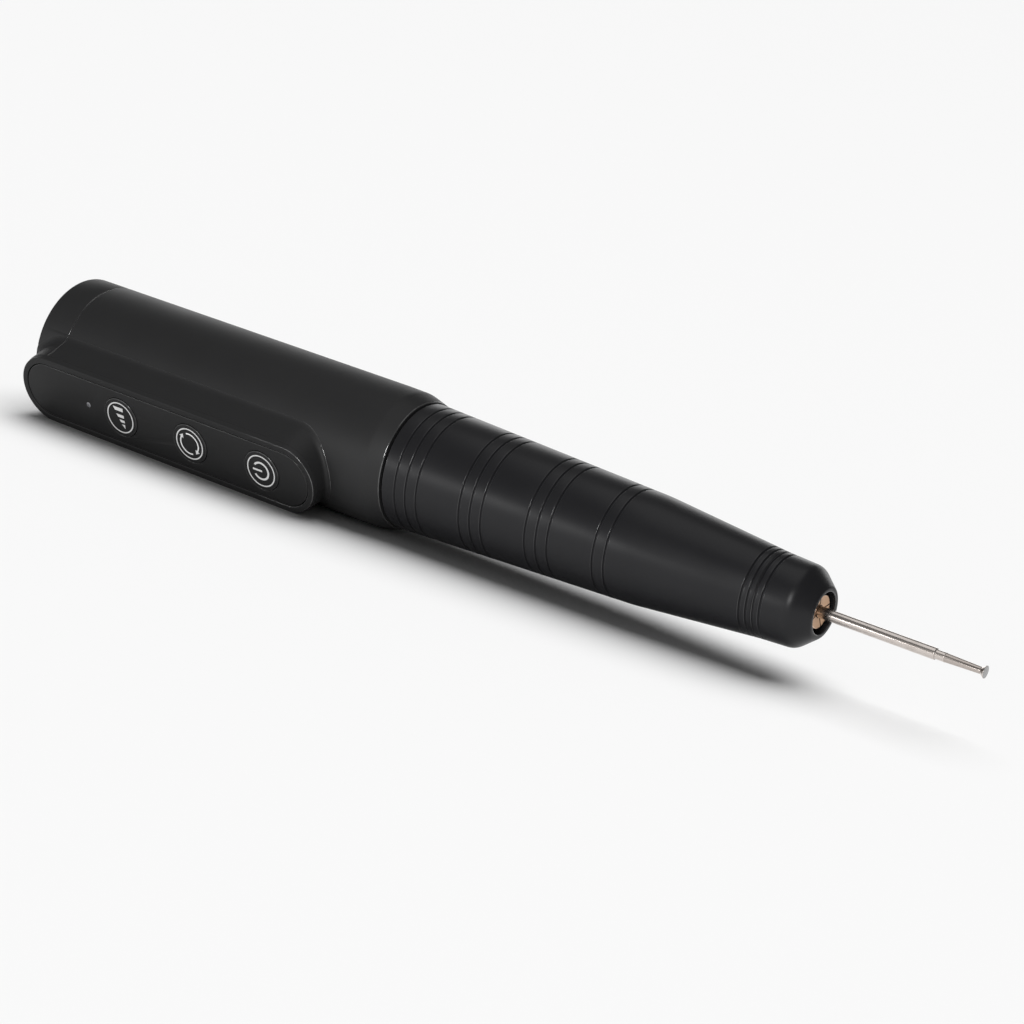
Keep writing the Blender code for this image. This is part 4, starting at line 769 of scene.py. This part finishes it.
def make_speed_sign():
    """A ring with three bars that get shorter, and a small pointed one."""
    parts = [sign_ring(SPEED_PLACE)]
    for left, right, across, thickness in SPEED_BARS:
        low, high = across - thickness / 2, across + thickness / 2
        lean = thickness * BAR_LEAN
        points = [(left, high), (left + lean, low), (right, low), (right, high)]
        parts.append(flat_shape("bar", SPEED_PLACE, points))
    parts.append(flat_shape("bar", SPEED_PLACE, SPEED_POINT))
    return merge_pieces("speed_sign", parts)


def arrow_head(place, radius, angle):
    """A printed arrow head at an angle on a circle, pointing back along it."""
    side = Vector((cos(radians(angle)), sin(radians(angle))))
    back = Vector((side.y, -side.x)) * ARROW_LENGTH
    spread = side * ARROW_LENGTH * ARROW_SPREAD
    middle = side * radius
    points = [middle + back, middle + spread, middle - spread]
    return flat_shape("head", place, [tuple(point) for point in points])


def make_direction_sign():
    """A ring round two turning arrows."""
    parts = [sign_ring(DIRECTION_PLACE)]
    for name, start, end in TURN_ARCS:
        parts.append(band(name, DIRECTION_PLACE, TURN_RADIUS, TURN_STROKE, start, end))
        parts.append(arrow_head(DIRECTION_PLACE, TURN_RADIUS, start))
    return merge_pieces("direction_sign", parts)


def make_power_sign():
    """A ring round the open circle and stem of a power sign."""
    parts = [
        sign_ring(POWER_PLACE),
        band("arc", POWER_PLACE, POWER_RADIUS, POWER_STROKE, -POWER_OPENING, POWER_OPENING),
        flat_shape("stem", POWER_PLACE, POWER_STEM),
    ]
    return merge_pieces("power_sign", parts)


def grip_radius(along):
    """The grip's radius between its stations, without grooves."""
    stations = [
        (0.0, GRIP_REAR_RADIUS),
        (WAIST_PLACE, WAIST_RADIUS),
        (NOSE_PLACE, NOSE_RADIUS),
        (NOSE_FRONT_PLACE, NOSE_FRONT_RADIUS),
        (GRIP_LENGTH, NOSE_RIM_RADIUS),
    ]
    for (start, first), (end, last) in zip(stations, stations[1:]):
        if along <= end:
            return first + (last - first) * (along - start) / (end - start)
    return NOSE_RIM_RADIUS


def groove_places():
    """Where the grip's grooves are: four groups, and a close one at the nose."""
    places = []
    for group, count in enumerate(GROOVE_GROUPS):
        start = GROOVE_FIRST + group * GROOVE_GROUP_PITCH
        places += [start + index * GROOVE_PITCH for index in range(count)]
    for index in reversed(range(NOSE_GROOVE_COUNT)):
        places.append(NOSE_GROOVE_LAST - index * NOSE_GROOVE_PITCH)
    return places


def make_grip():
    """The twist grip: two slim cones with turned grooves, a soft nose and a stepped bore."""
    half = GROOVE_WIDTH / 2
    corners = [(0.0, GRIP_BORE, 0.0), (0.0, GRIP_REAR_RADIUS, GRIP_REAR_EDGE)]
    stations = [
        (WAIST_PLACE, WAIST_RADIUS, WAIST_ROUNDING),
        (NOSE_PLACE, NOSE_RADIUS, NOSE_START_ROUNDING),
    ]
    for place in groove_places():
        floor = grip_radius(place) - GROOVE_DEPTH
        stations.append((place - half, grip_radius(place - half), GROOVE_LIP_ROUNDING))
        stations.append((place - half / 3, floor, GROOVE_FOOT_ROUNDING))
        stations.append((place + half / 3, floor, GROOVE_FOOT_ROUNDING))
        stations.append((place + half, grip_radius(place + half), GROOVE_LIP_ROUNDING))
    corners += sorted(stations)
    corners += [
        (NOSE_FRONT_PLACE, NOSE_FRONT_RADIUS, NOSE_ROUNDING),
        (GRIP_LENGTH, NOSE_RIM_RADIUS, NOSE_RIM_ROUNDING),
        (GRIP_LENGTH, MOUTH_RADIUS, MOUTH_EDGE),
        (GRIP_LENGTH - MOUTH_LENGTH, MOUTH_RADIUS, 0.0),
        (GRIP_LENGTH - MOUTH_LENGTH, GRIP_NOSE_BORE, 0.0),
        (GRIP_STEP, GRIP_NOSE_BORE, 0.0),
        (GRIP_STEP, GRIP_BORE, 0.0),
    ]
    return turned("grip_cover", rounded(corners, closed=True), GRIP_STEPS, closed=True)


def make_collet():
    """The collet: a slim tube that widens to its round head, with four slots from the front."""
    corners = [
        (COLLET_FRONT - COLLET_DISH, COLLET_BORE, COLLET_BORE_EDGE),
        (COLLET_FRONT, COLLET_RADIUS, COLLET_FACE_EDGE),
        (COLLET_FRONT - COLLET_HEAD, COLLET_RADIUS, COLLET_REAR_EDGE),
        (COLLET_FRONT - COLLET_HEAD, COLLET_CONE_RADIUS, 0.0),
        (COLLET_FRONT - COLLET_HEAD - COLLET_SEAT, COLLET_CONE_RADIUS, 0.0),
        (COLLET_FRONT - COLLET_HEAD - COLLET_SEAT - COLLET_CONE, COLLET_BODY_RADIUS, 0.0),
        (COLLET_REAR, COLLET_BODY_RADIUS, COLLET_REAR_EDGE),
        (COLLET_REAR, COLLET_BORE, 0.0),
    ]
    collet = turned("collet_jaws", rounded(corners, closed=True), SMALL_STEPS, closed=True)
    half = COLLET_SLOT_WIDTH / 2
    reach = 2 * COLLET_RADIUS
    start, end = COLLET_FRONT - COLLET_SLOT_LENGTH, COLLET_FRONT + OVERRUN
    for wide, tall in ((half, reach), (reach, half)):
        ring = [(-wide, -tall), (wide, -tall), (wide, tall), (-wide, tall)]
        cut(collet, lofted("slot", [[Vector((place, y, z)) for y, z in ring] for place in (start, end)]))
    return collet


def make_bit():
    """The bit: a shank with a step, a tapering neck and a small flared head."""
    corners = [
        (BIT_REAR, 0.0, 0.0),
        (BIT_REAR, SHANK_RADIUS, BIT_REAR_EDGE),
        (SHANK_FRONT, SHANK_RADIUS, SHANK_EDGE),
        (SHANK_FRONT, STEP_RADIUS, STEP_ROOT),
        (NECK_PLACE, STEP_RADIUS, STEP_EDGE),
        (NECK_PLACE, NECK_REAR_RADIUS, FINE_EDGE),
        (HEAD_PLACE, NECK_FRONT_RADIUS, HEAD_FLARE),
        (TIP_PLACE, HEAD_RADIUS, FINE_EDGE),
        (TIP_PLACE, 0.0, 0.0),
    ]
    return turned("bit_steel", rounded(corners), SMALL_STEPS)


# Patterns and finishes

def new_material(name):
    material = bpy.data.materials.new(name)
    material.use_nodes = True
    return material, material.node_tree, material.node_tree.nodes["Principled BSDF"]


def new_group(name, inputs, outputs):
    """A group of nodes with number inputs and outputs, which several finishes share."""
    tree = bpy.data.node_groups.new(name, "ShaderNodeTree")
    for socket in inputs:
        tree.interface.new_socket(socket, in_out="INPUT", socket_type="NodeSocketFloat")
    for socket in outputs:
        tree.interface.new_socket(socket, in_out="OUTPUT", socket_type="NodeSocketFloat")
    return tree, tree.nodes.new("NodeGroupInput"), tree.nodes.new("NodeGroupOutput")


def noise(tree, detail, scale=CLOUD_SCALE):
    texture = tree.nodes.new("ShaderNodeTexNoise")
    texture.inputs["Scale"].default_value = scale
    texture.inputs["Detail"].default_value = detail
    return texture


def moulded_grain():
    """Fine moulded grain with a slow change over the surface."""
    tree, source, result = new_group("moulded_grain", ["Scale"], ["Height", "Cloud"])
    place = tree.nodes.new("ShaderNodeTexCoord")
    fine = noise(tree, 3.0)
    cloud = noise(tree, 2.0, CLOUD_SCALE)
    tree.links.new(place.outputs["Object"], fine.inputs["Vector"])
    tree.links.new(place.outputs["Object"], cloud.inputs["Vector"])
    tree.links.new(source.outputs["Scale"], fine.inputs["Scale"])
    tree.links.new(fine.outputs["Fac"], result.inputs["Height"])
    tree.links.new(cloud.outputs["Fac"], result.inputs["Cloud"])
    return tree


def lathe_lines():
    """Fine rings round the tool's axis, as a lathe leaves them, with a slow change along it."""
    tree, source, result = new_group("lathe_lines", ["Scale"], ["Height", "Cloud"])
    place = tree.nodes.new("ShaderNodeTexCoord")
    squeeze = tree.nodes.new("ShaderNodeMapping")
    squeeze.inputs["Scale"].default_value = (1.0, LATHE_SQUEEZE, LATHE_SQUEEZE)
    rings = noise(tree, 2.0)
    cloud = noise(tree, 2.0, LATHE_CLOUD_SCALE)
    tree.links.new(place.outputs["Object"], squeeze.inputs["Vector"])
    tree.links.new(squeeze.outputs["Vector"], rings.inputs["Vector"])
    tree.links.new(place.outputs["Object"], cloud.inputs["Vector"])
    tree.links.new(source.outputs["Scale"], rings.inputs["Scale"])
    tree.links.new(rings.outputs["Fac"], result.inputs["Height"])
    tree.links.new(cloud.outputs["Fac"], result.inputs["Cloud"])
    return tree


def edge_wear_and_highlight():
    """Where a rounded outer edge is scuffed and carries a painted highlight, a little unevenly."""
    tree, source, result = new_group("edge_wear_and_highlight", ["Amount"], ["Mask"])
    edge = tree.nodes.new("ShaderNodeAttribute")
    edge.attribute_name = "edge"
    place = tree.nodes.new("ShaderNodeTexCoord")
    uneven = noise(tree, 3.0, WEAR_AND_HIGHLIGHT_SCALE)
    spread = tree.nodes.new("ShaderNodeMapRange")
    spread.inputs["From Min"].default_value = WEAR_AND_HIGHLIGHT_NOISE_LOW
    spread.inputs["From Max"].default_value = WEAR_AND_HIGHLIGHT_NOISE_HIGH
    spread.inputs["To Min"].default_value = WEAR_AND_HIGHLIGHT_LEAST
    both = tree.nodes.new("ShaderNodeMath")
    both.operation = "MULTIPLY"
    scaled = tree.nodes.new("ShaderNodeMath")
    scaled.operation = "MULTIPLY"
    tree.links.new(place.outputs["Object"], uneven.inputs["Vector"])
    tree.links.new(uneven.outputs["Fac"], spread.inputs["Value"])
    tree.links.new(edge.outputs["Fac"], both.inputs[0])
    tree.links.new(spread.outputs["Result"], both.inputs[1])
    tree.links.new(both.outputs["Value"], scaled.inputs[0])
    tree.links.new(source.outputs["Amount"], scaled.inputs[1])
    tree.links.new(scaled.outputs["Value"], result.inputs["Mask"])
    return tree


MOULDED = moulded_grain()
TURNED = lathe_lines()
WEAR_AND_HIGHLIGHT = edge_wear_and_highlight()


def placed(tree, group, socket, value):
    node = tree.nodes.new("ShaderNodeGroup")
    node.node_tree = group
    node.inputs[socket].default_value = value
    return node


def mixed(tree, kind, factor, first, second):
    """A mix of two colours or numbers by a mask. Either may be a plain value or another node's output."""
    node = tree.nodes.new("ShaderNodeMix")
    node.data_type = kind
    tree.links.new(factor, node.inputs["Factor"])
    for name, given in (("A", first), ("B", second)):
        if isinstance(given, bpy.types.NodeSocket):
            tree.links.new(given, node.inputs[name])
        elif kind == "RGBA":
            node.inputs[name].default_value = (*given, 1.0)
        else:
            node.inputs[name].default_value = given
    return node.outputs["Result"]


def finish(name, pattern, colour, other, roughness, scale, depth, gloss=PLASTIC_GLOSS, wear_and_highlight_amount=1.0):
    """A surface with a fine pattern in its bump, a drifting colour and roughness, and edges that are
    glossier and lighter, partly as scuffing and partly as a painted highlight.
    """
    material, tree, shader = new_material(name)
    fine = placed(tree, pattern, "Scale", scale)
    wear_and_highlight_node = placed(tree, WEAR_AND_HIGHLIGHT, "Amount", wear_and_highlight_amount)
    cloud, mask = fine.outputs["Cloud"], wear_and_highlight_node.outputs["Mask"]
    # Lighter edge colour: partly scuffing, partly a painted highlight along rounded edges.
    worn_and_highlight_tint = [min(1.0, share * WEAR_AND_HIGHLIGHT_GAIN + WEAR_AND_HIGHLIGHT_LIFT) for share in other]
    tint = mixed(tree, "RGBA", cloud, colour, other)
    rough = mixed(tree, "FLOAT", cloud, roughness - ROUGHNESS_DRIFT, roughness + ROUGHNESS_DRIFT)
    tint = mixed(tree, "RGBA", mask, tint, worn_and_highlight_tint)
    rough = mixed(tree, "FLOAT", mask, rough, min(roughness, EDGE_ROUGHNESS))
    tree.links.new(tint, shader.inputs["Base Color"])
    tree.links.new(rough, shader.inputs["Roughness"])
    bump = tree.nodes.new("ShaderNodeBump")
    bump.inputs["Strength"].default_value = 1.0
    bump.inputs["Distance"].default_value = depth
    tree.links.new(fine.outputs["Height"], bump.inputs["Height"])
    tree.links.new(bump.outputs["Normal"], shader.inputs["Normal"])
    tree.links.new(mask, shader.inputs["Coat Weight"])
    shader.inputs["Coat Roughness"].default_value = COAT_ROUGHNESS
    shader.inputs["Coat IOR"].default_value = COAT_IOR
    shader.inputs["Specular IOR Level"].default_value = gloss
    return material


def plastic(name, colour, other, roughness, scale, depth, gloss=PLASTIC_GLOSS, wear_and_highlight_amount=1.0):
    return finish(name, MOULDED, colour, other, roughness, scale, depth, gloss, wear_and_highlight_amount)


def metal(name, pattern, colour, other, roughness, scale, depth):
    material = finish(name, pattern, colour, other, roughness, scale, depth, METAL_GLOSS)
    material.node_tree.nodes["Principled BSDF"].inputs["Metallic"].default_value = 1.0
    return material


# By slot of the record. Each has its two colours, roughness, the scale and depth of its pattern and,
# where they aren't the usual ones, its gloss and how strong its scuffed, painted-highlight edges are.
FINISHES = {
    "housing_black": plastic(
        "housing_soft_black", (0.018, 0.018, 0.0185), (0.021, 0.021, 0.0215), 0.52, 4200.0, 0.000010),
    "panel_black": plastic(
        "panel_matte_black", (0.012, 0.012, 0.0123), (0.014, 0.014, 0.0143),
        0.56, 5200.0, 0.000008, 0.22, 0.4),
    "grip_black": plastic(
        "grip_satin_black", (0.011, 0.011, 0.0125), (0.014, 0.014, 0.0155),
        0.36, 5200.0, 0.000006, 0.25, 0.55),
    "lens": plastic(
        "light_lens_grey", (0.09, 0.09, 0.10), (0.12, 0.12, 0.13), 0.25, 3000.0, 0.000002),
    "tool_steel": metal(
        "bit_polished_steel", TURNED, (0.54, 0.485, 0.45), (0.47, 0.42, 0.385), 0.24, 9000.0, 0.0000006),
    "bronze": metal(
        "collet_bronze", TURNED, (0.56, 0.36, 0.23), (0.48, 0.30, 0.18), 0.34, 6000.0, 0.000003),
    "bright_steel": metal(
        "plated_steel", TURNED, (0.60, 0.60, 0.59), (0.52, 0.52, 0.52), 0.28, 5000.0, 0.000003),
    "dark_steel": metal(
        "blued_steel", TURNED, (0.20, 0.20, 0.21), (0.15, 0.15, 0.16), 0.36, 5000.0, 0.000003),
    "nickel_strip": metal(
        "nickel_strip", MOULDED, (0.66, 0.62, 0.55), (0.58, 0.54, 0.48), 0.30, 2600.0, 0.000004),
    "brass": metal(
        "turned_brass", TURNED, (0.70, 0.50, 0.22), (0.60, 0.42, 0.18), 0.30, 5000.0, 0.000003),
    "alloy": metal(
        "cast_alloy", MOULDED, (0.50, 0.50, 0.51), (0.43, 0.43, 0.44), 0.44, 1500.0, 0.000012),
    "cell_wrap": plastic(
        "cell_wrap_blue", (0.025, 0.085, 0.22), (0.030, 0.100, 0.25), 0.34, 1800.0, 0.000004, 0.5),
    "foam": plastic(
        "grey_foam", (0.09, 0.09, 0.09), (0.13, 0.13, 0.13), 0.90, 1600.0, 0.000090, 0.2),
    "ferrite": plastic(
        "sintered_ferrite", (0.045, 0.045, 0.048), (0.060, 0.060, 0.063), 0.60, 2600.0, 0.000020, 0.4),
    "inner_plastic": plastic(
        "inner_plastic_grey", (0.055, 0.055, 0.055), (0.070, 0.070, 0.070), 0.50, 2600.0, 0.000010),
    "lead_red": plastic(
        "lead_red", (0.42, 0.018, 0.015), (0.50, 0.025, 0.020), 0.42, 2400.0, 0.000005, 0.5),
    "lead_black": plastic(
        "lead_black", (0.012, 0.012, 0.012), (0.017, 0.017, 0.017), 0.42, 2400.0, 0.000005, 0.5),
    "circuit_board": plastic(
        "board_green", (0.010, 0.085, 0.035), (0.014, 0.110, 0.045), 0.32, 2200.0, 0.000006, 0.5),
    "chip": plastic(
        "chip_black", (0.016, 0.016, 0.016), (0.022, 0.022, 0.022), 0.48, 3600.0, 0.000006, 0.4),
    "lamp_white": plastic(
        "lamp_white", (0.70, 0.70, 0.66), (0.78, 0.78, 0.74), 0.30, 2400.0, 0.000003, 0.5),
}
GROUND = plastic("ground_steel", (0.15, 0.147, 0.145), (0.21, 0.206, 0.203), 0.65, 6000.0, 0.000004, 0.08)
PRINT = plastic("sign_print", (0.60, 0.60, 0.60), (0.68, 0.68, 0.68), 0.50, 6000.0, 0.000003)


def mark_edges(piece):
    """Marks the narrow faces of rounded outer edges in a face attribute, for the finish's scuffing and
    painted highlight there.
    """
    mesh = bmesh.new()
    mesh.from_mesh(piece.data)
    marks = []
    for face in mesh.faces:
        longest = max(edge.calc_length() for edge in face.edges)
        bends = [edge.calc_face_angle_signed(0.0) for edge in face.edges]
        narrow = face.calc_area() / longest < EDGE_FACE_WIDTH
        marks.append(1.0 if narrow and max(bends) > EDGE_BEND else 0.0)
    mesh.free()
    layer = piece.data.attributes.new("edge", "FLOAT", "FACE")
    layer.data.foreach_set("value", marks)


def finished(piece, body, slot, *nodes, material=None):
    """Turns a piece into place, gives it its finish, hangs it on its body and hides the parts it stands
    for.
    """
    piece.data.transform(TOOL_TURN)
    piece.data.materials.clear()
    piece.data.materials.append(material or FINISHES[slot])
    mark_edges(piece)
    only(piece)
    bpy.ops.object.shade_smooth_by_angle(angle=SMOOTH_ANGLE)
    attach(piece, body)
    if nodes:
        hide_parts(*nodes)
    return piece


def finish_facing(piece, way, material):
    """Gives the faces that look one way in the tool's own frame a finish of their own."""
    piece.data.materials.append(material)
    out = TOOL_TURN.to_3x3() @ Vector(way)
    for face in piece.data.polygons:
        if face.normal.dot(out) > FACING:
            face.material_index = 1


def rim_highlight_front(rim):
    """Keeps the painted highlight and gloss on the rim's edge only at its front end, fading in from the
    start place to the full place.
    """
    layer = rim.data.attributes["edge"]
    for face in rim.data.polygons:
        share = (face.center.x - AXIS_PLACE.x - RIM_HIGHLIGHT_START) / (RIM_HIGHLIGHT_FULL - RIM_HIGHLIGHT_START)
        layer.data[face.index].value *= min(1.0, max(0.0, share))


def make_pieces():
    form = make_body_form()
    finished(make_housing(form), "housing", "housing_black", "main_housing")
    finished(make_cap(form), "housing", "housing_black", "rear_cap")
    bpy.data.objects.remove(form, do_unlink=True)
    rim = finished(make_rim(), "housing", "housing_black", "panel_bezel")
    finish_facing(rim, (0.0, 0.0, 1.0), FINISHES["panel_black"])
    # Painted highlight: the rim edge's lighter colour and gloss stay at its front end only.
    rim_highlight_front(rim)
    finished(make_plate(), "housing", "panel_black", "panel_plate")
    finished(make_lens(), "housing", "lens", "led_lens")
    finished(make_socket(), "housing", "bright_steel", "usb_socket")
    finished(make_tongue(), "housing", "inner_plastic")
    keys = (("speed", SPEED_PLACE), ("direction", DIRECTION_PLACE), ("power", POWER_PLACE))
    for name, place in keys:
        finished(make_key(name + "_cap", place), name + "_key", "panel_black", name + "_button")
    finished(make_speed_sign(), "speed_key", "lamp_white", material=PRINT)
    finished(make_direction_sign(), "direction_key", "lamp_white", material=PRINT)
    finished(make_power_sign(), "power_key", "lamp_white", material=PRINT)
    finished(make_grip(), "twist_grip", "grip_black", "grip_sleeve")
    finished(make_collet(), "collet_group", "bronze", "collet")
    bit = finished(make_bit(), "bit", "tool_steel", "engraving_bit")
    finish_facing(bit, (1.0, 0.0, 0.0), GROUND)


def dress_solids():
    """Gives each of the frame's own solids the finish of its slot."""
    for solid in solids:
        for slot in solid.material_slots:
            slot.material = FINISHES[slot.material.name]


def make_stage():
    """The pale floor with its own light, and the sky. Gives what lets a light fall on all but the floor."""
    clear_selection()
    bpy.ops.mesh.primitive_plane_add(size=FLOOR_SIZE)
    floor = name_new("floor")
    material, _, shader = new_material("pale_floor")
    shader.inputs["Base Color"].default_value = (FLOOR_SHADE, FLOOR_SHADE, FLOOR_SHADE, 1.0)
    shader.inputs["Roughness"].default_value = FLOOR_ROUGHNESS
    shader.inputs["Specular IOR Level"].default_value = FLOOR_GLOSS
    floor.data.materials.append(material)
    world = bpy.data.worlds.new("studio")
    bpy.context.scene.world = world
    world.use_nodes = True
    tree = world.node_tree
    sky = tree.nodes["Background"]
    sky.inputs["Color"].default_value = (1.0, 1.0, 1.0, 1.0)
    seen = tree.nodes.new("ShaderNodeLightPath")
    glow = tree.nodes.new("ShaderNodeMapRange")
    glow.inputs["To Min"].default_value = SKY_LIGHT
    glow.inputs["To Max"].default_value = SKY_SEEN
    tree.links.new(seen.outputs["Is Camera Ray"], glow.inputs["Value"])
    tree.links.new(glow.outputs["Result"], sky.inputs["Strength"])
    wash = bpy.data.lights.new("floor_wash", "SUN")
    wash.energy = WASH_ENERGY
    wash.angle = WASH_ANGLE
    lamp = bpy.data.objects.new("floor_wash", wash)
    lamp.rotation_euler = (WASH_TILT, 0.0, 0.0)
    bpy.context.collection.objects.link(lamp)
    only_floor = bpy.data.collections.new("floor_only")
    only_floor.objects.link(floor)
    lamp.light_linking.receiver_collection = only_floor
    all_but_floor = bpy.data.collections.new("all_but_floor")
    all_but_floor.objects.link(floor)
    all_but_floor.collection_objects[0].light_linking.link_state = "EXCLUDE"
    return all_but_floor


def soft_light(name, place, size, radiance, lit):
    """A soft box that looks at the middle of the tool, as bright as the given radiance."""
    data = bpy.data.lights.new(name, "AREA")
    data.shape = "RECTANGLE"
    data.size, data.size_y = size
    data.energy = radiance * pi * size[0] * size[1]
    light = bpy.data.objects.new(name, data)
    light.location = place
    light.rotation_mode = "QUATERNION"
    light.rotation_quaternion = (-Vector(place)).to_track_quat("-Z", "Y")
    light.light_linking.receiver_collection = lit
    bpy.context.collection.objects.link(light)


def make_camera():
    data = bpy.data.cameras.new("camera")
    data.sensor_width = CAMERA_SENSOR
    data.lens = CAMERA_LENS
    data.clip_start = CAMERA_NEAR
    data.clip_end = CAMERA_FAR
    camera = bpy.data.objects.new("camera", data)
    camera.location = CAMERA_PLACE
    camera.rotation_euler = CAMERA_TURN
    bpy.context.collection.objects.link(camera)
    bpy.context.scene.camera = camera


make_camera()
tool_only = make_stage()
for name, place, size, radiance in SOFT_BOXES:
    soft_light(name, place, size, radiance, tool_only)
bpy.context.scene.view_settings.view_transform = "Standard"
make_pieces()
dress_solids()
